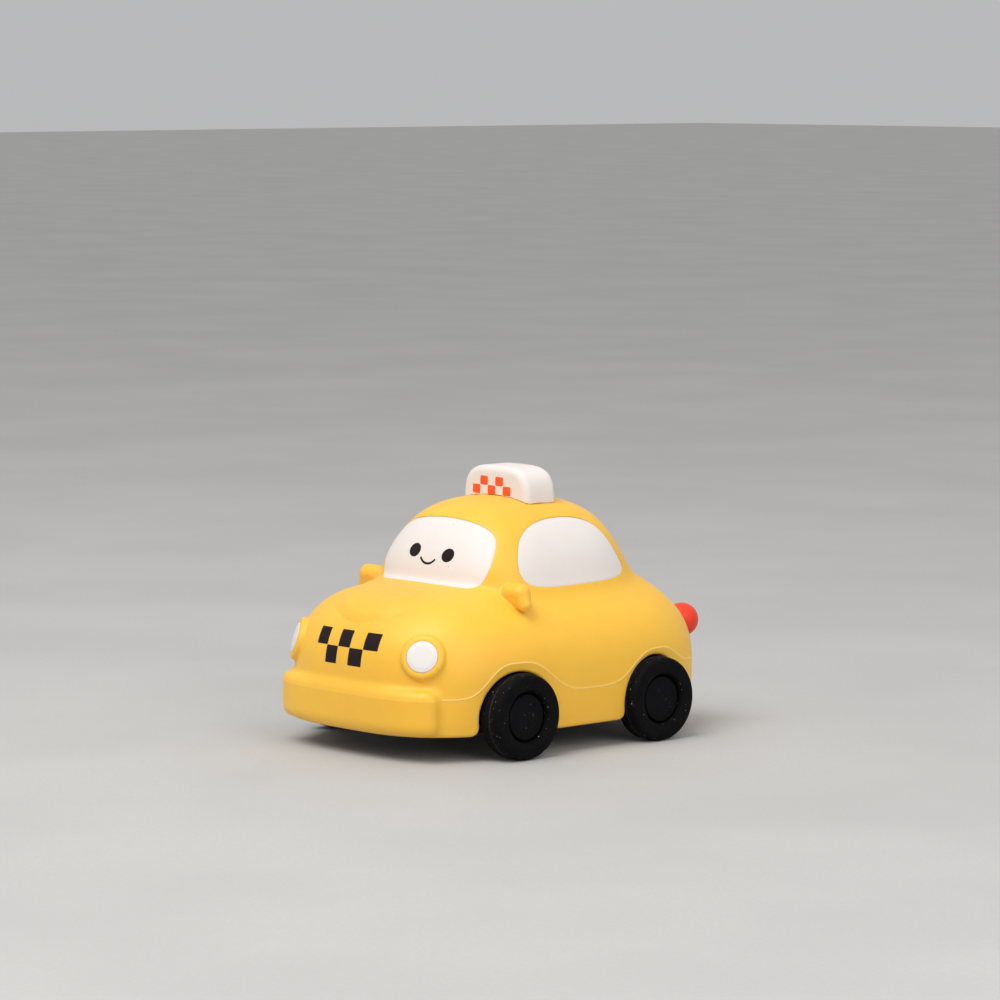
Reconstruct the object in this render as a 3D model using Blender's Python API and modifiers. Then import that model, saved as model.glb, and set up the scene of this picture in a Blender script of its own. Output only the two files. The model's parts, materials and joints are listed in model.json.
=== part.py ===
"""Pull back car: a soft moulded toy saloon with a roof sign, on a hard chassis with a geared spring motor.

Frame: +Z up, wheels on z = 0, front towards -Y, the car's left side towards +X. Dimensions below are in millimetres.
"""

import math

import bmesh
import bpy
import numpy as np
from mathutils import Matrix, Vector

MM = 0.001

# Overall layout
WHEELBASE = 36.2
AXLE_Z = 8.4
WHEELBASE_CENTRE_Y = -0.124
SKIRT_Z = 5.0
WALL = 1.8
GAP = 0.3

# Lower body: a rounded box whose plan and height follow power curves
BODY_HALF_WIDTH = 26.9
BODY_FRONT = 39.6
BODY_REAR = 40.4
BODY_Y0 = -0.4
BODY_Z0 = 13.4
BODY_UP = 20.1
BODY_DOWN = 30.0
BODY_PLAN_FRONT = 3.15
BODY_PLAN_REAR = 3.6
BODY_HEIGHT_POWER = 2.6

# Cabin dome
CABIN_HALF_WIDTH = 21.0
CABIN_FRONT = 18.2
CABIN_REAR = 27.6
CABIN_Y0 = -0.6
CABIN_Z0 = 23.0
CABIN_UP = 25.0
CABIN_PLAN_POWER = 3.0
CABIN_HEIGHT_POWER = 2.6
BLEND = 2.9
RAY_CENTRE_Z = 16.0

# Bumper
BUMPER_HALF_WIDTH = 28.2
BUMPER_FRONT = 40.2
BUMPER_POWER = 4.2
BUMPER_END_X = 23.0
BUMPER_TOP_Z = 13.9

# Lamps
HEAD_X, HEAD_Z = 18.3, 20.8
HEAD_LENS_R, HEAD_BEZEL_R = 3.15, 4.6
TAIL_X, TAIL_Z = 15.0, 21.0
TAIL_BULB_R = 3.3

# Roof sign
SIGN_HALF_WIDTH = 9.8
SIGN_Y0, SIGN_Y1 = 1.0, 7.1
SIGN_TOP_Z = 54.3
SIGN_PEG_R = 2.0

# Wheels
WHEEL_OUTER_X = 30.2
TYRE_R = 8.4
AXLE_R = 1.0
BORE_CLEARANCE = 0.3
ARCH_R = 9.3

# Gear train, module 0.5 mm
MODULE = 0.5
PRESSURE_ANGLE = math.radians(25.0)
ADDENDUM, DEDENDUM = 0.8, 1.1
BACKLASH = 0.14
AXLE_PINION_TEETH = 10
IDLER_WHEEL_TEETH = 26
IDLER_PINION_TEETH = 10
SPRING_GEAR_TEETH = 30
IDLER_ANGLE = math.radians(145.0)
SPRING_ANGLE = math.radians(168.0)

FRONT_AXLE_Y = -WHEELBASE / 2
REAR_AXLE_Y = WHEELBASE / 2
STAGE_ONE = MODULE * (AXLE_PINION_TEETH + IDLER_WHEEL_TEETH) / 2
STAGE_TWO = MODULE * (IDLER_PINION_TEETH + SPRING_GEAR_TEETH) / 2
IDLER_Y = REAR_AXLE_Y + STAGE_ONE * math.cos(IDLER_ANGLE)
IDLER_Z = AXLE_Z + STAGE_ONE * math.sin(IDLER_ANGLE)
SPRING_Y = IDLER_Y + STAGE_TWO * math.cos(SPRING_ANGLE)
SPRING_Z = IDLER_Z + STAGE_TWO * math.sin(SPRING_ANGLE)

# Motor case
CASE_LEFT_X, CASE_RIGHT_X = 7.8, -7.2
CASE_WALL = 1.6
CASE_BOSSES = ((SPRING_Y - 7.75, SPRING_Z + 7.55), (IDLER_Y + 2.8, IDLER_Z + 9.6))
EAR_Y = (-5.0, 8.6)
EAR_X = 11.0

# Frame and chassis
PLATE_BOTTOM, PLATE_TOP = SKIRT_Z, SKIRT_Z + 1.6
FRAME_BOTTOM, FRAME_TOP = 18.5, 20.0
BOSS_POINTS = ((12.0, -29.5), (-12.0, -29.5), (12.0, 29.8), (-12.0, 29.8))
POST_TOP = 8.5
SCREW_SEAT_Z = 6.8


for old in list(bpy.data.objects):
    bpy.data.objects.remove(old, do_unlink=True)

scene = bpy.context.scene
scene.unit_settings.system = "METRIC"
scene.unit_settings.scale_length = 1.0
parts = bpy.data.collections.new("pull_back_car")
cutters = bpy.data.collections.new("cutters")
scene.collection.children.link(parts)
scene.collection.children.link(cutters)
cutters.hide_render = True


def material(name, colour, roughness, metallic=0.0):
    made = bpy.data.materials.new(name)
    made.use_nodes = True
    shader = made.node_tree.nodes["Principled BSDF"]
    shader.inputs["Base Color"].default_value = (*colour, 1.0)
    shader.inputs["Roughness"].default_value = roughness
    shader.inputs["Metallic"].default_value = metallic
    made.diffuse_color = (*colour, 1.0)
    return made


YELLOW = (0.88, 0.50, 0.06)
WHITE = (0.86, 0.82, 0.77)
RED = (0.80, 0.06, 0.03)
BLACK = (0.012, 0.012, 0.013)
STEEL = (0.58, 0.58, 0.60)
NYLON = (0.80, 0.78, 0.70)
BLUE_STEEL = (0.22, 0.25, 0.32)


# ---- Objects, placing and modifiers


def world(point):
    """Metres in the car's frame, from millimetres measured from the middle of the wheelbase."""
    x, y, z = (float(v) for v in point)
    return Vector((x * MM, (y + WHEELBASE_CENTRE_Y) * MM, z * MM))


def pivot(name, point):
    empty = bpy.data.objects.new(name, None)
    empty.empty_display_size = 6 * MM
    empty.location = world(point)
    parts.objects.link(empty)
    return empty


def made_object(name, data, centre=(0, 0, 0), axis=(0, 0, 1)):
    """An object at centre, in millimetres, with its own Z turned to the axis."""
    obj = bpy.data.objects.new(name, data)
    obj.location = world(centre)
    obj.rotation_mode = "QUATERNION"
    obj.rotation_quaternion = Vector((0, 0, 1)).rotation_difference(Vector([float(v) for v in axis]))
    return obj


def as_part(obj, colour, roughness, metallic=0.0, parent=None):
    parts.objects.link(obj)
    obj.data.materials.append(material(obj.name, colour, roughness, metallic))
    obj.parent = parent or car
    obj.matrix_parent_inverse = Matrix.Translation(-obj.parent.location)
    return obj


def as_cutter(obj):
    cutters.objects.link(obj)
    obj.hide_render = True
    obj.display_type = "WIRE"
    return obj


def boolean(target, tool, operation):
    made = target.modifiers.new(operation.lower() + "_" + tool.name, "BOOLEAN")
    made.operation = operation
    made.solver = "EXACT"
    made.object = as_cutter(tool)


def cut(target, tool):
    boolean(target, tool, "DIFFERENCE")


def join(target, tool):
    boolean(target, tool, "UNION")


def thicken(obj, thickness, offset):
    made = obj.modifiers.new("thickness", "SOLIDIFY")
    made.thickness = thickness * MM
    made.offset = offset
    return obj


# ---- Shapes


def from_bmesh(name, work, centre, axis):
    data = bpy.data.meshes.new(name)
    bmesh.ops.recalc_face_normals(work, faces=work.faces)
    work.to_mesh(data)
    work.free()
    return made_object(name, data, centre, axis)


def turned(name, profile, centre, axis, segments, hollow=False):
    """A lathe shape. Profile points are (distance along the axis, radius); a hollow one is a closed loop."""
    area = sum(
        r0 * z1 - r1 * z0
        for (z0, r0), (z1, r1) in zip(profile, profile[1:] + profile[:1])
    )
    ordered = profile[::-1] if area > 0 else profile
    work = bmesh.new()
    corners = [work.verts.new((r * MM, 0, z * MM)) for z, r in ordered]
    for here, there in zip(corners[:-1], corners[1:]):
        work.edges.new((here, there))
    if hollow:
        work.edges.new((corners[-1], corners[0]))
    data = bpy.data.meshes.new(name)
    work.to_mesh(data)
    work.free()
    obj = made_object(name, data, centre, axis)
    lathe = obj.modifiers.new("lathe", "SCREW")
    lathe.axis = "Z"
    lathe.angle = 2 * math.pi
    lathe.steps = lathe.render_steps = segments
    lathe.use_merge_vertices = True
    lathe.merge_threshold = 0.000001
    lathe.use_smooth_shade = False
    return obj


def rod(name, radius, start, end, centre, axis, segments=16):
    """A cylinder from start to end along the axis through centre."""
    way = Vector([float(v) for v in axis]).normalized()
    middle = Vector([float(v) for v in centre]) + way * ((start + end) / 2)
    work = bmesh.new()
    bmesh.ops.create_cone(
        work, cap_ends=True, segments=segments, radius1=radius * MM, radius2=radius * MM, depth=(end - start) * MM
    )
    return from_bmesh(name, work, middle, axis)


def box(name, x0, x1, y0, y1, z0, z1):
    (x0, x1), (y0, y1), (z0, z1) = sorted((x0, x1)), sorted((y0, y1)), sorted((z0, z1))
    work = bmesh.new()
    bmesh.ops.create_cube(work, size=1.0)
    bmesh.ops.scale(work, vec=((x1 - x0) * MM, (y1 - y0) * MM, (z1 - z0) * MM), verts=work.verts)
    return from_bmesh(name, work, ((x0 + x1) / 2, (y0 + y1) / 2, (z0 + z1) / 2), (0, 0, 1))


def ball(name, centre, radii, lean=0.0, segments=16):
    work = bmesh.new()
    bmesh.ops.create_uvsphere(work, u_segments=segments, v_segments=max(6, segments // 2), radius=MM)
    bmesh.ops.scale(work, vec=radii, verts=work.verts)
    bmesh.ops.rotate(work, matrix=Matrix.Rotation(math.radians(lean), 3, "Y"), verts=work.verts)
    return from_bmesh(name, work, centre, (0, 0, 1))


def plate(name, outline, low, high, centre=(0, 0), across="Z"):
    """A flat outline made thick with Solidify. Its outline lies in the plane across X or Z."""
    work = bmesh.new()
    if across == "X":
        corners = [work.verts.new((0, (y - centre[0]) * MM, (z - centre[1]) * MM)) for y, z in outline]
        middle = ((low + high) / 2, centre[0], centre[1])
    else:
        corners = [work.verts.new(((x - centre[0]) * MM, (y - centre[1]) * MM, 0)) for x, y in outline]
        middle = (centre[0], centre[1], (low + high) / 2)
    work.faces.new(corners)
    data = bpy.data.meshes.new(name)
    work.to_mesh(data)
    work.free()
    return thicken(made_object(name, data, middle), high - low, 0.0)


def loft(name, rings, cap=True, centre=(0, 0, 0)):
    """A skin through unlike sections. A ring of one point closes its end to a tip."""
    work = bmesh.new()
    origin = Vector([float(v) for v in centre])
    loops = [[work.verts.new((Vector([float(v) for v in p]) - origin) * MM) for p in ring] for ring in rings]
    for here, there in zip(loops[:-1], loops[1:]):
        count = max(len(here), len(there))
        for i in range(count):
            j = (i + 1) % count
            if len(here) == 1:
                work.faces.new((here[0], there[i], there[j]))
            elif len(there) == 1:
                work.faces.new((here[i], there[0], here[j]))
            else:
                work.faces.new((here[i], there[i], there[j], here[j]))
    if cap:
        for end in (loops[0], loops[-1]):
            if len(end) > 1:
                work.faces.new(end)
    return from_bmesh(name, work, centre, (0, 0, 1))


def hull_of_circles(circles, segments=28):
    """The outline round a set of circles, as a convex polygon."""
    points = sorted(
        (round(cy + r * math.cos(t), 6), round(cz + r * math.sin(t), 6))
        for cy, cz, r in circles
        for t in (2 * math.pi * i / segments for i in range(segments))
    )

    def half(sequence):
        chain = []
        for p in sequence:
            while len(chain) > 1 and (
                (chain[-1][0] - chain[-2][0]) * (p[1] - chain[-2][1])
                - (chain[-1][1] - chain[-2][1]) * (p[0] - chain[-2][0])
            ) <= 1e-9:
                chain.pop()
            chain.append(p)
        return chain[:-1]

    return half(points) + half(points[::-1])


# ---- Outer surface of the body


def power_shape(x, y, z, half_width, front, rear, up, down, plan_front, plan_rear, height_power):
    length = np.where(y < 0, front, rear)
    plan = np.where(y < 0, plan_front, plan_rear)
    rise = np.where(z > 0, up, down)
    across = (np.abs(x) / half_width) ** plan + (np.abs(y) / length) ** plan
    return (across ** (height_power / plan) + (np.abs(z) / rise) ** height_power) ** (1 / height_power) - 1


def field(p):
    """Negative inside the body's outer surface, positive outside."""
    x, y, z = p[..., 0], p[..., 1], p[..., 2]
    lower = 24 * power_shape(
        x, y - BODY_Y0, z - BODY_Z0, BODY_HALF_WIDTH, BODY_FRONT, BODY_REAR, BODY_UP, BODY_DOWN,
        BODY_PLAN_FRONT, BODY_PLAN_REAR, BODY_HEIGHT_POWER,
    )
    cabin = 20 * power_shape(
        x, y - CABIN_Y0, z - CABIN_Z0, CABIN_HALF_WIDTH, CABIN_FRONT, CABIN_REAR, CABIN_UP, BODY_DOWN,
        CABIN_PLAN_POWER, CABIN_PLAN_POWER, CABIN_HEIGHT_POWER,
    )
    mix = np.clip(0.5 + 0.5 * (cabin - lower) / BLEND, 0, 1)
    return cabin * (1 - mix) + lower * mix - BLEND * mix * (1 - mix)


def cast(origins, directions, reach=60.0):
    """The distance from each origin, which is inside, to the surface along its direction."""
    near, far = np.zeros(len(origins)), np.full(len(origins), reach)
    for _ in range(32):
        middle = (near + far) / 2
        inside = field(origins + directions * middle[:, None]) < 0
        near, far = np.where(inside, middle, near), np.where(inside, far, middle)
    return (near + far) / 2


def normals_at(p, step=0.05):
    slope = np.stack(
        [
            field(p + step * np.eye(3)[k]) - field(p - step * np.eye(3)[k])
            for k in range(3)
        ],
        axis=-1,
    )
    return slope / np.linalg.norm(slope, axis=-1, keepdims=True)


def surface_rings(segments, low_levels, elevations, offset):
    """Rings round the body from the skirt to the roof, moved along the surface's normal by offset."""
    turns = 2 * np.pi * np.arange(segments) / segments
    rings = []
    for level in low_levels:
        origins = np.tile([0.0, 0.0, level], (segments, 1))
        ways = np.stack([np.cos(turns), np.sin(turns), np.zeros(segments)], -1)
        hit = origins + ways * cast(origins, ways)[:, None]
        moved = hit + normals_at(hit) * offset
        moved[:, 2] = level
        rings.append(moved)
    for elevation in elevations:
        rise = math.radians(elevation)
        count = 1 if elevation >= 90 else segments
        around = turns[:count]
        ways = np.stack(
            [
                np.cos(around) * math.cos(rise),
                np.sin(around) * math.cos(rise),
                np.full(count, math.sin(rise)),
            ],
            -1,
        )
        origins = np.tile([0.0, 0.0, RAY_CENTRE_Z], (count, 1))
        hit = origins + ways * cast(origins, ways)[:, None]
        rings.append(hit + normals_at(hit) * offset)
    return rings


# ---- The car and its turning axes

car = pivot("car", (0, 0, 0))
front_wheels = pivot("front_axle_pivot", (0, FRONT_AXLE_Y, AXLE_Z))
rear_wheels = pivot("rear_axle_pivot", (0, REAR_AXLE_Y, AXLE_Z))
idler_pivot = pivot("idler_pivot", (0, IDLER_Y, IDLER_Z))
spring_pivot = pivot("spring_pivot", (0, SPRING_Y, SPRING_Z))

# ---- Body shell: an open skin given its wall by Solidify

outer = surface_rings(36, (SKIRT_Z, 10.5), (0, 11, 20, 28, 35, 42, 49, 58, 70, 90), 0.0)
body_shell = as_part(thicken(loft("body_shell", outer, cap=False), WALL, -1.0), YELLOW, 0.55)


def surface_point(x, z, side):
    """The point of the surface over (x, z), looking along the body from the front (-1) or the rear (1)."""
    start = np.array([[x, 0.0, z]])
    way = np.array([[0.0, float(side), 0.0]])
    return (start + way * cast(start, way)[:, None])[0]


# ---- Shell details: bumper, lamp bezels, mirrors and bonnet bulge


def bumper_rings():
    steps = 18
    rings = []
    for i in range(steps + 1):
        x = BUMPER_END_X * math.sin(math.pi * (i / steps - 0.5))
        reach = (1 - (abs(x) / BUMPER_HALF_WIDTH) ** BUMPER_POWER) ** (1 / BUMPER_POWER)
        end = min(1.0, (BUMPER_END_X - abs(x)) / 1.2)
        soft = 1.0 - 0.7 * math.sqrt(max(0.0, 1 - (1 - end) ** 2))
        front = BODY_Y0 - BUMPER_FRONT * reach + 0.9 * soft
        top = BUMPER_TOP_Z - 0.5 * soft
        back = surface_point(x, 9.0, -1)[1] + 1.0
        rings.append(
            [
                (x, front + 0.8, SKIRT_Z), (x, front, SKIRT_Z + 1.0), (x, front, top - 1.2),
                (x, front + 0.35, top - 0.4), (x, front + 1.1, top), (x, back, top), (x, back, SKIRT_Z),
            ]
        )
    return rings


join(body_shell, loft("bumper", bumper_rings()))

head_seats = {}
for tag, sign in (("left", 1), ("right", -1)):
    seat = surface_point(sign * HEAD_X, HEAD_Z, -1)
    facing = normals_at(seat[None])[0]
    head_seats[tag] = (seat, facing)
    bezel = [
        (-3.4, 0), (-3.4, HEAD_BEZEL_R - 0.5), (-0.4, HEAD_BEZEL_R),
        (0.3, HEAD_BEZEL_R - 0.1), (0.9, HEAD_BEZEL_R - 0.7), (0.9, 0),
    ]
    join(body_shell, turned("bezel_" + tag, bezel, seat, facing, 20))

tail_seats = {}
for tag, sign in (("left", 1), ("right", -1)):
    seat = surface_point(sign * TAIL_X, TAIL_Z, 1)
    facing = normals_at(seat[None])[0]
    tail_seats[tag] = (seat, facing)
    join(body_shell, rod("tail_boss_" + tag, 4.4, -3.3, -1.05, seat, facing, 15))

join(body_shell, ball("bonnet_bulge", (0, -27.3, 26.6), (9.3, 7.4, 4.2)))
for tag, sign in (("left", 1), ("right", -1)):
    join(body_shell, ball("mirror_" + tag, (sign * 20.0, -13.2, 30.3), (4.2, 1.9, 1.9), sign * 8.0, 12))

# ---- Window openings and panels


def window_outline(kind, grow, count):
    """Outline as pairs of (across, height), grown outwards by grow."""
    outline = []
    for i in range(count):
        t = 2 * math.pi * (i + 0.5) / count
        c, s = math.cos(t), math.sin(t)
        power = 2.5 if s > 0 else 5.5
        a = math.copysign(abs(c) ** (2 / power), c)
        b = math.copysign(abs(s) ** (2 / power), s)
        if kind == "front":
            across, height, middle, mid_z, taper, lean = 15.05, 6.25, 0.0, 38.2, 0.0, 0.0
        elif kind == "rear":
            across, height, middle, mid_z, taper, lean = 14.0, 5.2, 0.0, 38.2, 0.0, 0.0
        else:
            across, height, middle, mid_z, taper, lean = 13.6, 6.35, 3.6, 38.05, 0.1, 1.45
        reach = (across + grow) * (1 - taper * b)
        outline.append(
            (middle + lean * max(0.0, -b) + reach * a, mid_z + (height + grow) * b)
        )
    return outline


def window_solid(name, kind, sign, grow, front, back, count, shares):
    """A slab that follows the surface over a window's outline, from front to back along the line of sight."""
    outline = window_outline(kind, grow, count)
    middle = (sum(p[0] for p in outline) / count, sum(p[1] for p in outline) / count)
    rings = []
    for share in shares:
        flat = [
            (middle[0] + share * (p[0] - middle[0]), middle[1] + share * (p[1] - middle[1]))
            for p in (outline if share > 0 else outline[:1])
        ]
        if kind in ("front", "rear"):
            side = -1.0 if kind == "front" else 1.0
            origins = np.array([[a, 0.0, z] for a, z in flat])
            ways = np.tile([0.0, side, 0.0], (len(flat), 1))
        else:
            origins = np.array([[0.0, a, z] for a, z in flat])
            ways = np.tile([float(sign), 0.0, 0.0], (len(flat), 1))
        rings.append((origins + ways * cast(origins, ways)[:, None], ways))
    outside = [hit + ways * front for hit, ways in rings]
    inside = [hit - ways * back for hit, ways in rings]
    return loft(name, outside + inside[::-1], centre=np.mean(outside[-1], axis=0))


for name, kind, sign in (
    ("windscreen", "front", 1),
    ("rear_window", "rear", 1),
    ("side_window_left", "side", 1),
    ("side_window_right", "side", -1),
):
    cut(body_shell, window_solid("opening_" + name, kind, sign, 0.0, 6.0, 7.0, 24, (0, 1.0)))
    as_part(window_solid(name, kind, sign, -GAP, 0.0, WALL, 24, (0, 0.55, 1.0)), WHITE, 0.5)

# ---- Wheel arches, lamps and the roof sign

for tag, y in (("front", FRONT_AXLE_Y), ("rear", REAR_AXLE_Y)):
    for side, sign in (("left", 1), ("right", -1)):
        cut(body_shell, rod(f"arch_{tag}_{side}", ARCH_R, 18.0, 34.0, (0, y, AXLE_Z), (sign, 0, 0), 24))

for tag, (seat, facing) in head_seats.items():
    socket = [
        (-6.0, 0), (-6.0, 1.6), (-0.7, 1.6), (-0.7, HEAD_LENS_R + GAP), (3.0, HEAD_LENS_R + GAP), (3.0, 0),
    ]
    cut(body_shell, turned("head_socket_" + tag, socket, seat, facing, 16))
    lens = [
        (-4.6, 0), (-4.6, 1.3), (-0.4, 1.3), (-0.4, HEAD_LENS_R),
        (0.45, HEAD_LENS_R), (0.85, HEAD_LENS_R * 0.8), (1.1, HEAD_LENS_R * 0.4), (1.15, 0),
    ]
    as_part(turned("headlight_" + tag, lens, seat, facing, 16), WHITE, 0.35)

for tag, (seat, facing) in tail_seats.items():
    socket = [
        (-8.0, 0), (-8.0, 1.6), (-1.5, 1.6), (-1.5, TAIL_BULB_R + GAP), (3.0, TAIL_BULB_R + GAP), (3.0, 0),
    ]
    cut(body_shell, turned("tail_socket_" + tag, socket, seat, facing, 14))
    bulb = [(-4.8, 0), (-4.8, 1.3), (-1.2, 1.3), (-1.2, TAIL_BULB_R)]
    bulb += [
        (0.2 + TAIL_BULB_R * math.sin(t), TAIL_BULB_R * math.cos(t))
        for t in (math.pi / 2 * i / 4 for i in range(4))
    ]
    bulb += [(0.2 + TAIL_BULB_R, 0)]
    as_part(turned("tail_light_" + tag, bulb, seat, facing, 16), RED, 0.4)

sign_middle = (SIGN_Y0 + SIGN_Y1) / 2
up = np.array([[0.0, 0.0, 1.0]])
roof_z = float(RAY_CENTRE_Z + cast(np.array([[0.0, sign_middle, RAY_CENTRE_Z]]), up)[0])
cut(body_shell, rod("sign_socket", SIGN_PEG_R + GAP, roof_z - 6, roof_z + 4, (0, sign_middle, 0), (0, 0, 1)))


def sign_ring(z, shrink):
    ring = []
    for i in range(16):
        t = 2 * math.pi * (i + 0.5) / 16
        c, s = math.cos(t), math.sin(t)
        ring.append(
            (
                math.copysign(abs(c) ** 0.4, c) * (SIGN_HALF_WIDTH - shrink),
                sign_middle + math.copysign(abs(s) ** 0.45, s) * ((SIGN_Y1 - SIGN_Y0) / 2 - shrink * 0.7),
                z,
            )
        )
    return ring


sign_levels = ((43.0, 0.0), (49.0, 0.0), (51.6, 0.25), (53.0, 0.9), (53.9, 1.9), (SIGN_TOP_Z, 3.2))
sign_rings = [sign_ring(z, s) for z, s in sign_levels]
roof_sign = as_part(loft("roof_sign", sign_rings, centre=(0, sign_middle, roof_z)), WHITE, 0.5)
cut(roof_sign, loft("roof_clearance", surface_rings(24, (20.0,), (45, 58, 68, 78, 90), GAP + 0.1)))
join(roof_sign, rod("sign_peg", SIGN_PEG_R, roof_z - 4.5, roof_z + 3, (0, sign_middle, 0), (0, 0, 1)))

# ---- Chassis plate


def plan_outline(half_width, front, rear, plan_front, plan_rear, count):
    outline = []
    for i in range(count):
        t = 2 * math.pi * i / count
        c, s = math.cos(t), math.sin(t)
        length, power = (front, plan_front) if s < 0 else (rear, plan_rear)
        outline.append(
            (
                math.copysign(abs(c) ** (2 / power), c) * half_width,
                BODY_Y0 + math.copysign(abs(s) ** (2 / power), s) * length,
            )
        )
    return outline


floor_plan = plan_outline(23.7, 36.4, 36.7, 3.3, 3.5, 40)
chassis = as_part(plate("chassis_plate", floor_plan, PLATE_BOTTOM, PLATE_TOP), BLACK, 0.6)
for side, sign in (("left", 1), ("right", -1)):
    join(chassis, box("rail_" + side, sign * 18.6, sign * 20.2, -29.0, 29.0, PLATE_BOTTOM + 0.5, 12.0))
    join(
        chassis,
        box("saddle_" + side, sign * 10.0, sign * 14.0, FRONT_AXLE_Y - 3.5, FRONT_AXLE_Y + 3.5, PLATE_BOTTOM + 0.5, 11.4),
    )
for tag, y in (("front", FRONT_AXLE_Y - 5.9), ("rear", FRONT_AXLE_Y + 5.9)):
    join(chassis, rod("retainer_post_" + tag, 2.4, PLATE_BOTTOM + 0.5, 11.4, (0, y, 0), (0, 0, 1), 14))
for side, sign in (("left", 1), ("right", -1)):
    for tag, y in (("front", FRONT_AXLE_Y), ("rear", REAR_AXLE_Y)):
        cut(chassis, rod(f"well_{tag}_{side}", ARCH_R + 0.2, 21.7, 34.0, (0, y, AXLE_Z), (sign, 0, 0), 20))
        cut(chassis, box(f"axle_slot_{tag}_{side}", sign * 17.0, sign * 22.0, y - 1.5, y + 1.5, AXLE_Z - 1.5, 14.0))
cut(chassis, rod("axle_groove", AXLE_R + BORE_CLEARANCE, -15.0, 15.0, (0, FRONT_AXLE_Y, AXLE_Z), (1, 0, 0)))
cut(chassis, box("axle_mouth", -15, 15, FRONT_AXLE_Y - 1.28, FRONT_AXLE_Y + 1.28, AXLE_Z, 13))
cut(chassis, box("motor_opening", CASE_RIGHT_X - 0.5, CASE_LEFT_X + 0.5, -9.6, 23.6, 0, 6.9))
cut(chassis, box("axle_boss_opening", -11.4, 11.4, REAR_AXLE_Y - 2.9, REAR_AXLE_Y + 2.9, 0, 6.9))


def upright_bore(target, name, x, y, z0, z1, radius=1.3):
    cut(target, rod(name, radius, z0, z1, (x, y, 0), (0, 0, 1), 10))


def screw(name, centre, axis, head_r=1.9, head_h=1.2, shank_r=1.0, length=6.0):
    """A low domed head whose underside is at centre, with its shank behind it."""
    profile = [
        (-length, 0), (-length + 0.7, shank_r), (0, shank_r), (0, head_r),
        (head_h * 0.55, head_r), (head_h, head_r * 0.6), (head_h, 0),
    ]
    return as_part(turned(name, profile, centre, axis, 10), STEEL, 0.35, 1.0)


# ---- Body frame, with four hollow legs that take the chassis screws, whose heads sit in recessed posts of the plate

frame_plan = plan_outline(23.2, 32.5, 32.8, 3.3, 3.4, 32)
frame = as_part(plate("body_frame", frame_plan, FRAME_BOTTOM, FRAME_TOP), BLACK, 0.6)
cut(frame, plate("frame_opening", plan_outline(17.5, 24.5, 25.0, 4.5, 4.5, 20), FRAME_BOTTOM - 2, FRAME_TOP + 2))
for i, (x, y) in enumerate(BOSS_POINTS):
    join(frame, rod(f"leg_{i}", 2.6, POST_TOP + GAP + 0.1, FRAME_BOTTOM + 0.7, (x, y, 0), (0, 0, 1), 12))
    join(chassis, rod(f"screw_post_{i}", 3.0, PLATE_BOTTOM + 0.5, POST_TOP, (x, y, 0), (0, 0, 1), 14))
for i, (x, y) in enumerate(BOSS_POINTS):
    upright_bore(frame, f"leg_bore_{i}", x, y, 0, 15.5)
    upright_bore(chassis, f"plate_bore_{i}", x, y, 0, POST_TOP + 1.0)
    upright_bore(chassis, f"head_recess_{i}", x, y, 0, SCREW_SEAT_Z, 2.25)
    screw(f"chassis_screw_{i + 1}", (x, y, SCREW_SEAT_Z - GAP), (0, 0, -1), length=8.0)

# ---- Front axle retainer

retainer = as_part(
    box("front_axle_retainer", -14.8, 14.8, FRONT_AXLE_Y - 2.6, FRONT_AXLE_Y + 2.6, 11.8, 13.2), BLACK, 0.6
)
join(retainer, box("retainer_bridge", -3.0, 3.0, FRONT_AXLE_Y - 8.4, FRONT_AXLE_Y + 8.4, 11.75, 13.25))
for side, sign in (("left", 1), ("right", -1)):
    join(
        retainer,
        box(
            "tongue_" + side, sign * 10.4, sign * 13.6, FRONT_AXLE_Y - 0.9, FRONT_AXLE_Y + 0.9,
            AXLE_Z + AXLE_R + 0.4, 12.2,
        ),
    )
for i, y in enumerate((FRONT_AXLE_Y - 5.9, FRONT_AXLE_Y + 5.9)):
    upright_bore(retainer, f"retainer_bore_{i}", 0, y, 10, 15)
    upright_bore(chassis, f"post_bore_{i}", 0, y, PLATE_BOTTOM + 0.8, 13)
    screw(f"retainer_screw_{i + 1}", (0, y, 13.25 + GAP), (0, 0, 1), length=6.8)

# ---- Axles and wheels

TYRE_PROFILE = [
    (-0.2, 5.25), (0.0, 6.0), (-0.4, 7.6), (-1.6, TYRE_R), (-6.0, TYRE_R),
    (-7.1, 7.7), (-7.4, 5.4), (-6.5, 5.3), (-6.2, 5.95), (-2.0, 5.95), (-1.7, 5.25),
]
HUB_PROFILE = [
    (-1.35, 0), (-1.45, 4.2), (-1.75, 4.75), (-2.3, 5.0), (-2.35, 5.62), (-5.9, 5.62), (-5.9, 4.7),
    (-3.6, 4.6), (-3.6, 2.3), (-7.9, 2.2), (-7.9, AXLE_R + BORE_CLEARANCE), (-3.1, AXLE_R + BORE_CLEARANCE), (-3.1, 0),
]
AXLE_END = WHEEL_OUTER_X - 3.5
AXLE_PROFILE = [
    (-AXLE_END, 0), (-AXLE_END, AXLE_R - 0.3), (-AXLE_END + 0.4, AXLE_R),
    (AXLE_END - 0.4, AXLE_R), (AXLE_END, AXLE_R - 0.3), (AXLE_END, 0),
]
for code, name, y, holder in (
    ("f", "front_axle", FRONT_AXLE_Y, front_wheels),
    ("r", "rear_axle", REAR_AXLE_Y, rear_wheels),
):
    as_part(turned(name, AXLE_PROFILE, (0, y, AXLE_Z), (1, 0, 0), 16), STEEL, 0.25, 1.0, holder)
    for side, sign in (("l", 1), ("r", -1)):
        centre, way = (sign * WHEEL_OUTER_X, y, AXLE_Z), (sign, 0, 0)
        as_part(turned(f"tyre_{code}{side}", TYRE_PROFILE, centre, way, 24, hollow=True), BLACK, 0.8, 0.0, holder)
        as_part(turned(f"wheel_hub_{code}{side}", HUB_PROFILE, centre, way, 16), BLACK, 0.5, 0.0, holder)

# ---- Gears


def involute(angle):
    return math.tan(angle) - angle


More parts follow.
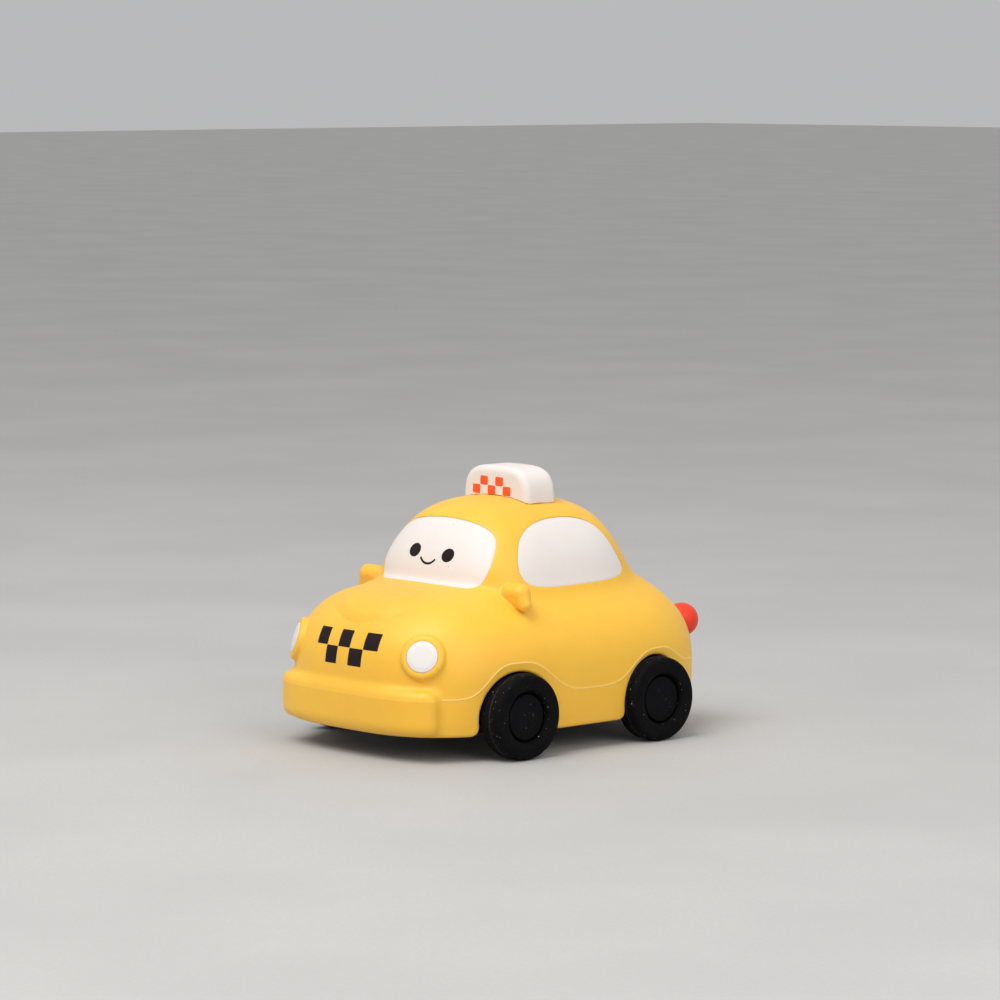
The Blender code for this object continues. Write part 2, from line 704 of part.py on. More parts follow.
def gear_outline(teeth, centre_y, centre_z, phase):
    """Tooth outline with involute flanks. A tooth's middle points along phase."""
    pitch_r = MODULE * teeth / 2
    base_r = pitch_r * math.cos(PRESSURE_ANGLE)
    tip_r = pitch_r + ADDENDUM * MODULE
    root_r = pitch_r - DEDENDUM * MODULE
    half_at_pitch = (math.pi / 2 * MODULE - BACKLASH) / 2 / pitch_r
    outline = []
    for k in range(teeth):
        middle = phase + 2 * math.pi * k / teeth
        flank = []
        for step in range(2):
            radius = max(base_r, root_r) + (tip_r - max(base_r, root_r)) * step
            turn = math.acos(min(1.0, base_r / radius))
            flank.append((radius, half_at_pitch + involute(PRESSURE_ANGLE) - involute(turn)))
        foot = [(root_r, flank[0][1] * (1.02 if root_r < base_r else 1.1))]
        side = foot + flank
        for radius, half in side:
            outline.append((centre_y + radius * math.cos(middle - half), centre_z + radius * math.sin(middle - half)))
        for radius, half in side[::-1]:
            outline.append((centre_y + radius * math.cos(middle + half), centre_z + radius * math.sin(middle + half)))
    return outline


def gear_plate(name, teeth, centre, phase, low, high):
    return plate(name, gear_outline(teeth, *centre, phase), low, high, centre, "X")


REAR_CENTRE, IDLER_CENTRE, SPRING_CENTRE = (REAR_AXLE_Y, AXLE_Z), (IDLER_Y, IDLER_Z), (SPRING_Y, SPRING_Z)
ALONG = (1, 0, 0)

pinion = gear_plate("axle_pinion", AXLE_PINION_TEETH, REAR_CENTRE, IDLER_ANGLE, -5.0, -2.9)
as_part(pinion, NYLON, 0.5, 0.0, rear_wheels)
cut(pinion, rod("pinion_bore", AXLE_R + GAP, -9, 0, (0, *REAR_CENTRE), ALONG))

idler_wheel_phase = IDLER_ANGLE + math.pi + math.pi / IDLER_WHEEL_TEETH
idler = gear_plate("idler_gear", IDLER_WHEEL_TEETH, IDLER_CENTRE, idler_wheel_phase, -4.9, -3.0)
as_part(idler, NYLON, 0.5, 0.0, idler_pivot)
join(idler, gear_plate("idler_pinion", IDLER_PINION_TEETH, IDLER_CENTRE, SPRING_ANGLE, -3.4, -0.5))
join(idler, rod("idler_sleeve", 1.65, -0.9, 5.4, (0, *IDLER_CENTRE), ALONG, 14))
cut(idler, rod("idler_bore", 0.75 + GAP, -9, 9, (0, *IDLER_CENTRE), ALONG, 12))
as_part(
    rod("idler_pin", 0.75, CASE_RIGHT_X + 0.2, CASE_LEFT_X - 0.2, (0, *IDLER_CENTRE), ALONG, 12), STEEL, 0.25, 1.0
)

spring_phase = SPRING_ANGLE + math.pi + math.pi / SPRING_GEAR_TEETH
spring_gear = gear_plate("spring_gear", SPRING_GEAR_TEETH, SPRING_CENTRE, spring_phase, -2.4, -0.7)
as_part(spring_gear, NYLON, 0.5, 0.0, spring_pivot)
ARBOR_PROFILE = [
    (CASE_RIGHT_X + 0.2, 0), (CASE_RIGHT_X + 0.2, 1.5), (-4.9, 1.5), (-4.9, 2.4), (-0.5, 2.4), (-0.5, 1.9),
    (4.6, 1.9), (4.6, 1.5), (CASE_LEFT_X - 0.2, 1.5), (CASE_LEFT_X - 0.2, 0),
]
join(spring_gear, turned("arbor", ARBOR_PROFILE, (0, *SPRING_CENTRE), ALONG, 16))

CUP_PROFILE = [(-0.1, 7.75), (-0.1, 7.15), (4.7, 7.15), (4.7, 2.3), (5.5, 2.3), (5.5, 7.75)]
as_part(turned("spring_cup", CUP_PROFILE, (0, *SPRING_CENTRE), ALONG, 24, hollow=True), STEEL, 0.4, 1.0)

SPRING_TURNS, SPRING_R0, SPRING_R1, SPRING_THICKNESS = 6.5, 2.4, 6.65, 0.22
SPRING_X0, SPRING_X1 = 0.5, 4.1


def ribbon():
    """The coiled strip's middle surface, measured from the arbor's axis."""
    work = bmesh.new()
    count = int(SPRING_TURNS * 15)
    previous = None
    for i in range(count + 1):
        angle = 2 * math.pi * SPRING_TURNS * i / count
        radius = SPRING_R0 + (SPRING_R1 - SPRING_R0) * i / count
        pair = [
            work.verts.new((x * MM, radius * math.cos(angle) * MM, radius * math.sin(angle) * MM))
            for x in (SPRING_X0, SPRING_X1)
        ]
        if previous:
            work.faces.new((previous[0], previous[1], pair[1], pair[0]))
        previous = pair
    data = bpy.data.meshes.new("mainspring")
    work.to_mesh(data)
    work.free()
    return made_object("mainspring", data, (0, *SPRING_CENTRE))


as_part(thicken(ribbon(), SPRING_THICKNESS, 0.0), BLUE_STEEL, 0.3, 1.0, spring_pivot)

# ---- Motor case in two halves


def case_circles(grow):
    return ((*REAR_CENTRE, 3.35 + grow), (*IDLER_CENTRE, 7.35 + grow), (*SPRING_CENTRE, 8.35 + grow))


case_outline = hull_of_circles(case_circles(1.4) + tuple((y, z, 2.5) for y, z in CASE_BOSSES), 20)
cavity_outline = hull_of_circles(case_circles(0.0), 20)
halves = {
    "left": plate("motor_case_left", case_outline, 0.0, CASE_LEFT_X, SPRING_CENTRE, "X"),
    "right": plate("motor_case_right", case_outline, CASE_RIGHT_X, -GAP, SPRING_CENTRE, "X"),
}
mounts = 0
for side, sign, face_x in (("left", 1, CASE_LEFT_X), ("right", -1, CASE_RIGHT_X)):
    half = as_part(halves[side], BLACK, 0.45)
    for i, y in enumerate(EAR_Y):
        ear = box(
            f"ear_{side}_{i}", face_x - sign * 1.0, sign * (EAR_X + 2.6), y - 2.6, y + 2.6, PLATE_TOP + 0.4, PLATE_TOP + 2.0
        )
        join(half, ear)
    join(half, rod("axle_boss_" + side, 2.4, abs(face_x) - 1.0, abs(face_x) + 3.0, (0, *REAR_CENTRE), (sign, 0, 0), 18))
    cut(half, plate("cavity_" + side, cavity_outline, CASE_RIGHT_X + CASE_WALL, CASE_LEFT_X - CASE_WALL, SPRING_CENTRE, "X"))
    cut(half, rod("axle_bore_" + side, AXLE_R + BORE_CLEARANCE, -14, 14, (0, *REAR_CENTRE), ALONG))
    cut(half, rod("pin_bore_" + side, 0.75 + GAP, -14, 14, (0, *IDLER_CENTRE), ALONG, 12))
    cut(half, rod("arbor_bore_" + side, 1.5 + GAP, -14, 14, (0, *SPRING_CENTRE), ALONG))
    for i, (y, z) in enumerate(CASE_BOSSES):
        cut(half, rod(f"case_bore_{side}_{i}", 1.1, -14, 14, (0, y, z), ALONG, 12))
    for i, y in enumerate(EAR_Y):
        x = sign * EAR_X
        mounts += 1
        upright_bore(half, f"ear_bore_{side}_{i}", x, y, 5.9, 10)
        upright_bore(chassis, f"mount_bore_{side}_{i}", x, y, 0, 7.5)
        screw(f"mount_screw_{mounts}", (x, y, PLATE_TOP + 2.0 + GAP), (0, 0, 1), length=3.6)
for i, (y, z) in enumerate(CASE_BOSSES):
    screw(f"case_screw_{i + 1}", (CASE_LEFT_X + GAP, y, z), ALONG, 1.7, 1.1, 0.8, 11.5)
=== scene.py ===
"""The look of the pull back car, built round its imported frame.

Shapes are worked out in millimetres measured from the middle of the wheelbase at floor level, x to the car's left,
y to the rear, z up, and are moved into the frame when a mesh is made.
"""

import json
import math

import bmesh
import bpy
import numpy as np
from mathutils import Matrix, Quaternion, Vector


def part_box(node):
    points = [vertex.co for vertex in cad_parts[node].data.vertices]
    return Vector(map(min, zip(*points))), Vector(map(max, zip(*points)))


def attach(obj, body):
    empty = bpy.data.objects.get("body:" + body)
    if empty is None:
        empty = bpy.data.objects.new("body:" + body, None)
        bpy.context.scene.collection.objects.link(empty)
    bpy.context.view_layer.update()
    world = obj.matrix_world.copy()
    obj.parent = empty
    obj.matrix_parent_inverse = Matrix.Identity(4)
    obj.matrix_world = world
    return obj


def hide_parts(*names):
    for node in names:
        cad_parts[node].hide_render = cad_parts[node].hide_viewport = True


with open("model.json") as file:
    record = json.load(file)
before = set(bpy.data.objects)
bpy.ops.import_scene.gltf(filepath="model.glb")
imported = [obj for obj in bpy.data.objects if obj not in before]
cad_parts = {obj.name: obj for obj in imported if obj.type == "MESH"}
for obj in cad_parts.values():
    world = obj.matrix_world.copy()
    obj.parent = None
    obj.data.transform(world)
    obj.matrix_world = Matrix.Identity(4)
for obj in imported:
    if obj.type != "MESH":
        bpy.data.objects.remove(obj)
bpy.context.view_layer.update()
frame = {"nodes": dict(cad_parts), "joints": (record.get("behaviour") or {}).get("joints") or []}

MM = 0.001
joint_at = {j["name"]: np.array(j["pos_m"]) / MM for j in frame["joints"]}
MIDDLE_Y = (joint_at["front_axle_spin"][1] + joint_at["rear_axle_spin"][1]) / 2
HALF_BASE = (joint_at["rear_axle_spin"][1] - joint_at["front_axle_spin"][1]) / 2
AXLE_Z = joint_at["rear_axle_spin"][2]
IDLER = joint_at["idler_spin"] - (0, MIDDLE_Y, 0)
SPRING = joint_at["spring_spin"] - (0, MIDDLE_Y, 0)
TYRE_R = (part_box("tyre_fl")[1][2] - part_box("tyre_fl")[0][2]) / 2 / MM
WHEEL_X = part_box("tyre_fl")[1][0] / MM
SKIRT_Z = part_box("body_shell")[0][2] / MM
SIGN_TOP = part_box("roof_sign")[1][2] / MM
SIGN_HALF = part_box("roof_sign")[1][0] / MM
WALL = 1.8

collection = bpy.context.scene.collection


# ---------------------------------------------------------------- outer form


def power_shape(x, y, z, half_width, front, rear, up, down, plan_front, plan_rear, height_power):
    """A rounded box's value (-1 at its centre, 0 on its surface) and how fast it grows."""
    length = np.where(y < 0, front, rear)
    plan = np.where(y < 0, plan_front, plan_rear)
    rise = np.where(z > 0, up, down)
    a, b, c = np.abs(x) / half_width, np.abs(y) / length, np.abs(z) / rise
    across = np.maximum(a**plan + b**plan, 1e-9)
    total = np.maximum(across ** (height_power / plan) + c**height_power, 1e-9)
    value = total ** (1 / height_power)
    common = value / total
    side = common * across ** (height_power / plan - 1)
    return value - 1, (
        side * a ** (plan - 1) / half_width * np.sign(x),
        side * b ** (plan - 1) / length * np.sign(y),
        common * c ** (height_power - 1) / rise * np.sign(z),
    )


def smooth_min(a, b, k):
    mix = np.clip(0.5 + 0.5 * (b - a) / k, 0, 1)
    return b * (1 - mix) + a * mix - k * mix * (1 - mix)


def smooth_max(a, b, k):
    return -smooth_min(-a, -b, k)


def step(t):
    t = np.clip(t, 0, 1)
    return t * t * (3 - 2 * t)


def plain_body(p, half_width=28.4, plan_front=3.25, plan_rear=3.3):
    """Distance to the two blended rounded forms, the lower body and the cabin."""
    x, y, z = p[..., 0], p[..., 1], p[..., 2]
    lower, slope_l = power_shape(
        x, y + 0.4, z - 13.4, half_width, 39.6, 40.4, 20.1, 30.0, plan_front, plan_rear, 2.6
    )
    cabin, slope_c = power_shape(x, y + 0.6, z - 23.0, 21.0, 18.2, 27.6, 25.0, 30.0, 3.0, 3.0, 2.6)
    foot = np.exp(-(((y + 19.5) / 4.0) ** 2) - (x / 17) ** 4) * (z > 25)
    lower, cabin = 24 * lower + 0.62 * foot, 20 * cabin
    reach = 4.35 - 1.8 * step((-y - 11) / 6)
    near = np.clip(1 - np.abs(cabin - lower) / reach, 0, 1)
    share = np.where(cabin < lower, 1 - near**2 / 2, near**2 / 2)
    value = np.minimum(cabin, lower) - reach * near**3 / 6
    steep = sum((20 * c * share + 24 * low * (1 - share)) ** 2 for c, low in zip(slope_c, slope_l))
    return value / np.sqrt(np.maximum(steep, 0.04))


def ellipsoid(x, y, z, centre, radii):
    a, b, c = ((v - m) / r for v, m, r in zip((x, y, z), centre, radii))
    k0 = np.sqrt(a * a + b * b + c * c)
    k1 = np.sqrt((a / radii[0]) ** 2 + (b / radii[1]) ** 2 + (c / radii[2]) ** 2)
    return k0 * (k0 - 1) / np.maximum(k1, 1e-6)


def capsule(x, y, z, start, end, r0, r1):
    start, end = np.array(start), np.array(end)
    way = end - start
    t = ((x - start[0]) * way[0] + (y - start[1]) * way[1] + (z - start[2]) * way[2]) / way.dot(way)
    t = np.clip(t, 0, 1)
    gap = np.sqrt(
        (x - start[0] - t * way[0]) ** 2 + (y - start[1] - t * way[1]) ** 2 + (z - start[2] - t * way[2]) ** 2
    )
    return gap - (r0 + (r1 - r0) * t)


# Fullness added to the two forms, each as (y, z, amount)
FILLS = (
    (-36.0, 15.0, -0.52), (-34.0, 23.0, 0.25), (-29.0, 28.0, 0.85), (-23.0, 31.5, 0.08), (-15.5, 34.5, 0.95),
    (-6.0, 46.5, -0.09), (11.0, 47.5, 0.28), (17.0, 44.5, 0.54), (22.5, 34.5, 0.19), (27.0, 30.5, 1.08),
    (33.0, 25.5, 0.27),
)
FILL_REACH = 5.5


def skin(p):
    """The painted-smooth outer form that the windows, lamps and printing lie on."""
    x, y, z = p[..., 0], p[..., 1], p[..., 2]
    d = plain_body(p)
    across = np.exp(-((x / 24) ** 4))
    for at_y, at_z, amount in FILLS:
        d = d - amount * across * np.exp(-((y - at_y) ** 2 + (z - at_z) ** 2) / FILL_REACH**2)
    return d - 0.4 * np.exp(-((x / 13) ** 4) - ((y + 37) ** 2 + (z - 25.5) ** 2) / 22)


def slope_of(shape, p, reach=0.02):
    """Gradient of a shape's distance, by central differences."""
    out = np.empty(p.shape)
    for axis in range(3):
        ahead, behind = p.copy(), p.copy()
        ahead[..., axis] += reach
        behind[..., axis] -= reach
        out[..., axis] = (shape(ahead) - shape(behind)) / (2 * reach)
    return out


def unit(v):
    return v / np.maximum(np.linalg.norm(v, axis=-1, keepdims=True), 1e-12)


def cast(shape, origins, ways, reach=60.0):
    """Where each ray leaves the shape; the origins are inside it."""
    near, far = np.zeros(len(origins)), np.full(len(origins), reach)
    for _ in range(34):
        middle = (near + far) / 2
        inside = shape(origins + ways * middle[:, None]) < 0
        near, far = np.where(inside, middle, near), np.where(inside, far, middle)
    return origins + ways * ((near + far) / 2)[:, None]


def over_front(points, side=-1.0, shape=skin, start=8.0):
    """Points of the skin over (x, z), looking along the car from the front (-1) or the rear (1)."""
    flat = np.asarray(points, float)
    origins = np.stack([flat[:, 0], np.full(len(flat), side * start), flat[:, 1]], -1)
    return cast(shape, origins, np.tile([0.0, side, 0.0], (len(flat), 1)))


def over_side(points, sign, shape=skin):
    flat = np.asarray(points, float)
    origins = np.stack([np.zeros(len(flat)), flat[:, 0], flat[:, 1]], -1)
    return cast(shape, origins, np.tile([float(sign), 0.0, 0.0], (len(flat), 1)))


# Lamp seats on the skin, on the car's left
head_seat = over_front([(18.7, 20.53)])[0]
head_facing = unit(slope_of(skin, head_seat[None]))[0]
tail_seat = over_front([(15.5, 21.2)], 1.0)[0]
tail_facing = unit(slope_of(skin, tail_seat[None]))[0]
HEAD_R, TAIL_R = 3.08, 3.4


def about(x, y, z, seat, facing):
    """Distance along the facing, and away from it, of points near a lamp seat."""
    dx, dy, dz = x - seat[0], y - seat[1], z - seat[2]
    along = dx * facing[0] + dy * facing[1] + dz * facing[2]
    return along, np.sqrt(np.maximum(dx * dx + dy * dy + dz * dz - along * along, 0))


# ---------------------------------------------------------------- shell details


def arch_rise(y):
    """0 between the wheels, 1 over each of them."""
    t = y + 17.6
    front = np.exp(-np.where(t < 0, np.abs(t / 8.4) ** 3.6, np.abs(t / 8.7) ** 2.7))
    t = y - 19.5
    rear = np.exp(-np.where(t < 0, np.abs(t / 9.2) ** 3.06, np.abs(t / 8.4) ** 2.55))
    return front, rear


def parting_z(y):
    """Height of the mould's parting line along the side."""
    front, rear = arch_rise(y)
    base = 12.35 + 2.1 * step((y - 23.3) / 9)
    return base + (18.7 - base) * front + (18.3 - base) * rear


def parting_offset(y, z):
    """Signed distance of a point from the parting line, along the surface."""
    lean = (parting_z(y + 0.05) - parting_z(y - 0.05)) / 0.1
    return (z - parting_z(y)) / np.sqrt(1 + lean * lean)


# Each window's outline through these points; the front and rear ones are mirrored about x = 0
FRONT_WINDOW = (
    (0.0, 44.48), (3.6, 44.36), (6.6, 44.06), (9.3, 43.54), (11.6, 42.7), (13.0, 41.8), (14.05, 40.65),
    (14.8, 39.1), (15.25, 37.3), (15.42, 35.8), (15.3, 34.75), (14.95, 33.5), (14.3, 32.45), (13.1, 31.97),
    (11.0, 31.95), (7.4, 32.08), (3.6, 32.13), (0.0, 32.15),
)
SIDE_WINDOW = (
    (6.0, 44.3), (2.0, 44.3), (-1.9, 43.8), (-5.4, 42.7), (-8.0, 40.85), (-9.5, 38.5), (-10.25, 36.1),
    (-10.25, 34.7), (-9.5, 33.2), (-8.1, 32.3), (-5.8, 31.87), (-2.0, 31.66), (2.9, 31.68), (8.6, 31.75),
    (13.5, 31.92), (16.9, 32.3), (18.55, 33.1), (18.75, 34.1), (18.1, 35.6), (16.4, 38.75), (15.0, 40.7),
    (13.4, 42.2), (11.3, 43.3), (9.0, 43.95),
)


def closed_curve(corners, count=360):
    """An even walk along a smooth closed curve through the corners."""
    corners = np.asarray(corners, float)
    n = len(corners)
    out = []
    for i in range(n):
        p0, p1, p2, p3 = (corners[(i + k) % n] for k in (-1, 0, 1, 2))
        g1, g2, g3 = (max(np.linalg.norm(b - a), 1e-6) ** 0.5 for a, b in ((p0, p1), (p1, p2), (p2, p3)))
        m1 = g2 * ((p1 - p0) / g1 - (p2 - p0) / (g1 + g2) + (p2 - p1) / g2)
        m2 = g2 * ((p2 - p1) / g2 - (p3 - p1) / (g2 + g3) + (p3 - p2) / g3)
        t = np.linspace(0, 1, 24, endpoint=False)[:, None]
        out.append(
            (2 * t**3 - 3 * t**2 + 1) * p1 + (t**3 - 2 * t**2 + t) * m1 + (3 * t**2 - 2 * t**3) * p2 + (t**3 - t**2) * m2
        )
    walk = np.concatenate(out)
    walk = np.concatenate([walk, walk[:1]])
    length = np.concatenate([[0], np.cumsum(np.linalg.norm(np.diff(walk, axis=0), axis=1))])
    even = np.linspace(0, length[-1], count, endpoint=False)
    return np.stack([np.interp(even, length, walk[:, k]) for k in (0, 1)], -1)


def mirrored(half):
    return list(half) + [(-x, z) for x, z in half[-2:0:-1]]


class Outline:
    """A closed outline and a table of signed distances to it."""

    def __init__(self, corners, step_size=0.12):
        self.line = closed_curve(corners)
        ahead = np.roll(self.line, -1, 0) - np.roll(self.line, 1, 0)
        ahead = unit(ahead)
        self.normal = np.stack([ahead[:, 1], -ahead[:, 0]], -1)
        self.middle = self.line.mean(0)
        if ((self.line - self.middle) * self.normal).sum() < 0:
            self.normal = -self.normal
        self.low, high = self.line.min(0) - 2.5, self.line.max(0) + 2.5
        self.size = step_size
        shape = np.ceil((high - self.low) / step_size).astype(int) + 1
        a, b = np.meshgrid(*(self.low[k] + step_size * np.arange(shape[k]) for k in (0, 1)), indexing="ij")
        spots = np.stack([a.ravel(), b.ravel()], -1)
        self.table = np.empty(len(spots))
        for i in range(0, len(spots), 4000):
            part = spots[i : i + 4000]
            gap = part[:, None] - self.line[None]
            near = (gap**2).sum(-1).argmin(1)
            rows = np.arange(len(part))
            off = (gap[rows, near] * self.normal[near]).sum(-1)
            far = np.sqrt((gap[rows, near] ** 2).sum(-1))
            self.table[i : i + 4000] = np.where(np.abs(off) > 0.7 * far, off, np.sign(off) * far)
        self.table = self.table.reshape(shape)

    def gap(self, across, z):
        a = np.clip((across - self.low[0]) / self.size, 0, self.table.shape[0] - 1.001)
        b = np.clip((z - self.low[1]) / self.size, 0, self.table.shape[1] - 1.001)
        i, j = a.astype(int), b.astype(int)
        a, b = a - i, b - j
        t = self.table
        return (t[i, j] * (1 - a) + t[i + 1, j] * a) * (1 - b) + (t[i, j + 1] * (1 - a) + t[i + 1, j + 1] * a) * b

    def grown(self, grow, count):
        pick = (np.arange(count) * len(self.line)) // count
        return self.line[pick] + grow * self.normal[pick]


OUTLINES = {
    "front": Outline(mirrored(FRONT_WINDOW)),
    "rear": Outline([(0.74 * x, 38.7 + 0.84 * (z - 38.2)) for x, z in mirrored(FRONT_WINDOW)]),
    "side": Outline(SIDE_WINDOW),
}


def window_gap(kind, across, z):
    """Signed distance of a point from a window's outline, in the plane it is drawn on."""
    return OUTLINES[kind].gap(across, z)


def window_outline(kind, grow, count):
    """Outline as pairs of (across, height), grown outwards by grow."""
    return OUTLINES[kind].grown(grow, count)


def bumper(ax, y, z):
    a, b = ax / 28.2, np.abs(y + 0.4) / 40.2
    total = np.maximum(a**4.2 + b**4.2, 1e-9)
    value = total ** (1 / 4.2)
    common = value / total
    steep = np.sqrt((common * a**3.2 / 28.2) ** 2 + (common * b**3.2 / 40.2) ** 2)
    d = (value - 1) / np.maximum(steep, 0.01)
    d = smooth_max(d, z - 14.2, 2.3)
    end = (ax - 23.5) * 0.669 + (y + 35.1) * 0.743
    d = smooth_max(d, end, 3.0)
    d = smooth_max(d, SKIRT_Z + 0.1 - z, 2.6)
    return np.maximum(d, y + 22)


def bezel(ax, y, z):
    along, away = about(ax, y, z, head_seat, head_facing)
    return np.maximum(smooth_max(away - 4.4, along - 0.62, 1.1), -along - 3.2)


def bonnet_bulge(x, y, z):
    """Height of the soft swelling on the bonnet, with a clear lower edge and a faded upper one."""
    e = np.sqrt((x / 11.0) ** 2 + ((y + 29.9) / 6.5) ** 2)
    t = np.clip((1 - e) / 0.24, 0, 1)
    return 0.8 * t * (2 - t) * step((-26.0 - y) / 7) * step((12 - np.abs(x)) / 6.5) * (z > 20)


def wedge(x, y, z, corners, radii):
    """A rounded triangle: the points near a flat triangle, nearer at one corner than another."""
    p = np.stack([x, y, z], -1)
    corners = np.array(corners)
    d = np.full(x.shape, 1e9)
    for i, j in ((0, 1), (1, 2), (2, 0)):
        way = corners[j] - corners[i]
        t = np.clip(((p - corners[i]) @ way) / way.dot(way), 0, 1)
        gap = np.linalg.norm(p - corners[i] - t[..., None] * way, axis=-1)
        d = np.minimum(d, gap - radii[i] - (radii[j] - radii[i]) * t)
    u, v, q = corners[1] - corners[0], corners[2] - corners[0], p - corners[0]
    facing = np.cross(u, v)
    b = np.cross(q, v) @ facing / facing.dot(facing)
    c = np.cross(u, q) @ facing / facing.dot(facing)
    flat = np.abs(q @ facing) / np.linalg.norm(facing)
    flat = flat - (radii[0] * (1 - b - c) + radii[1] * b + radii[2] * c)
    return np.where((b > 0) & (c > 0) & (b + c < 1), flat, d)


def mirror(ax, y, z):
    """A stubby ear with its tip hanging outwards."""
    corners = ((19.9, -13.4, 31.35), (22.75, -13.55, 31.4), (23.9, -13.54, 29.3))
    return wedge(ax, y, z, corners, (1.85, 1.9, 1.35))


ARCH_R = 8.62


def outline_of_skirt(ax, y, z):
    """Positive where the skirt's lower edge or a wheel arch takes material away."""
    arch = np.maximum(
        ARCH_R - np.hypot(y + HALF_BASE, z - AXLE_Z),
        ARCH_R - np.hypot(y - HALF_BASE, z - AXLE_Z),
    )
    edge = smooth_max(SKIRT_Z - z, arch, 2.2)
    return np.where(ax > 19.5, edge, SKIRT_Z - z)


def shell_outside(p):
    x, y, z = p[..., 0], p[..., 1], p[..., 2]
    ax = np.abs(x)
    d = skin(p)
    front, rear = arch_rise(y)
    offset = parting_offset(y, z)
    lip = 0.2 * np.maximum(front, rear) * step(-offset / 1.2) * step((ax - 18) / 4)
    d = d + lip - bonnet_bulge(x, y, z)
    d = smooth_min(d, bumper(ax, y, z), 1.3)
    d = smooth_min(d, bezel(ax, y, z), 0.5)
    d = smooth_min(d, mirror(ax, y, z), 0.8)
    ridge = 0.075 * np.where(y < -33.4, 0.25, 1.0)
    d = d - ridge * np.exp(-((offset / 0.13) ** 2)) * (z < 20)
    for kind, across, facing in (
        ("front", x, -y), ("rear", x, y), ("side", y, ax),
    ):
        near = window_gap(kind, across, z)
        mask = (facing > 8) & (z > 28)
        d = d + np.where(mask, 0.07 * np.exp(-((near / 0.18) ** 2)), 0.0)
    return smooth_max(d, outline_of_skirt(ax, y, z), 0.65)


def shell_inside(p):
    """The hollow: the plain form less its wall, kept clear of the lamp bosses."""
    x, y, z = p[..., 0], p[..., 1], p[..., 2]
    d = np.maximum(plain_body(p), plain_body(p, 26.9, 3.15, 3.6)) + WALL
    for seat, facing in ((head_seat, head_facing), (tail_seat, tail_facing)):
        along, away = about(np.abs(x), y, z, seat, facing)
        boss = np.maximum(away - 4.4, -along - 3.3)
        d = np.maximum(d, -boss)
    return np.maximum(d, 2.0 - z)


# ---------------------------------------------------------------- meshes from shapes


def net(shape, low, high, size):
    """A closed surface of quads round the region where shape is negative, one point to a cell it passes through."""
    axes = [np.arange(a, b + size, size) for a, b in zip(low, high)]
    grid = np.stack(np.meshgrid(*axes, indexing="ij"), -1)
    values = np.empty(grid.shape[:3])
    for i in range(0, grid.shape[0], 16):
        values[i : i + 16] = shape(grid[i : i + 16])
    inside = values < 0
    corners = [(i, j, k) for i in (0, 1) for j in (0, 1) for k in (0, 1)]
    cells = tuple(n - 1 for n in inside.shape)
    count = np.zeros(cells, int)
    for i, j, k in corners:
        count += inside[i : i + cells[0], j : j + cells[1], k : k + cells[2]]
    index = np.argwhere((count > 0) & (count < 8))
    ids = np.full(cells, -1)
    ids[tuple(index.T)] = np.arange(len(index))
    total, hits = np.zeros((len(index), 3)), np.zeros(len(index))
    for start in corners:
        for axis in range(3):
            if start[axis]:
                continue
            end = list(start)
            end[axis] = 1
            a = values[tuple((index + start).T)]
            b = values[tuple((index + end).T)]
            cross = (a < 0) != (b < 0)
            t = np.where(cross, a / np.where(cross, a - b, 1), 0)
            spot = index + np.array(start, float)
            spot[:, axis] += t
            total += spot * cross[:, None]
            hits += cross
    points = np.array(low, float) + size * total / hits[:, None]
    quads = []
    for axis in range(3):
        b, c = (axis + 1) % 3, (axis + 2) % 3
        first = [slice(None)] * 3
        second = [slice(None)] * 3
        first[axis], second[axis] = slice(0, -1), slice(1, None)
        change = np.argwhere(inside[tuple(first)] != inside[tuple(second)])
        change = change[(change[:, b] > 0) & (change[:, c] > 0)]
        change = change[(change[:, b] < cells[b]) & (change[:, c] < cells[c])]
        turn = []
        for db, dc in ((-1, -1), (0, -1), (0, 0), (-1, 0)):
            spot = change.copy()
            spot[:, b] += db
            spot[:, c] += dc
            turn.append(ids[tuple(spot.T)])
        quad = np.stack(turn, -1)
        outward = inside[tuple(change.T)]
        quads.append(np.where(outward[:, None], quad, quad[:, ::-1]))
    return points, np.concatenate(quads)


def settle(shape, points, rounds=5):
    """Points moved onto the shape's surface."""
    for _ in range(rounds):
        value = shape(points)
        slope = slope_of(shape, points)
        size = np.maximum((slope**2).sum(-1), 0.15)
        points = points - slope * (np.clip(value, -0.4, 0.4) / size)[:, None]
    return points


def relax(points, faces, amount=0.5):
    """Points drawn towards the middle of their neighbours."""
    ends = np.concatenate([np.stack([faces[:, i], faces[:, (i + 1) % faces.shape[1]]], -1) for i in range(faces.shape[1])])
    total, count = np.zeros(points.shape), np.bincount(ends[:, 0], minlength=len(points))
    for axis in range(3):
        total[:, axis] = np.bincount(ends[:, 0], weights=points[ends[:, 1], axis], minlength=len(points))
    return points + amount * (total / np.maximum(count, 1)[:, None] - points)


def triangles(points, quads):
    """Each quad cut along its shorter diagonal."""
    first = np.linalg.norm(points[quads[:, 0]] - points[quads[:, 2]], axis=-1)
    second = np.linalg.norm(points[quads[:, 1]] - points[quads[:, 3]], axis=-1)
    a = np.concatenate([quads[:, [0, 1, 2]], quads[:, [0, 2, 3]]])
    b = np.concatenate([quads[:, [0, 1, 3]], quads[:, [1, 2, 3]]])
    return np.where(np.concatenate([first < second] * 2)[:, None], a, b)


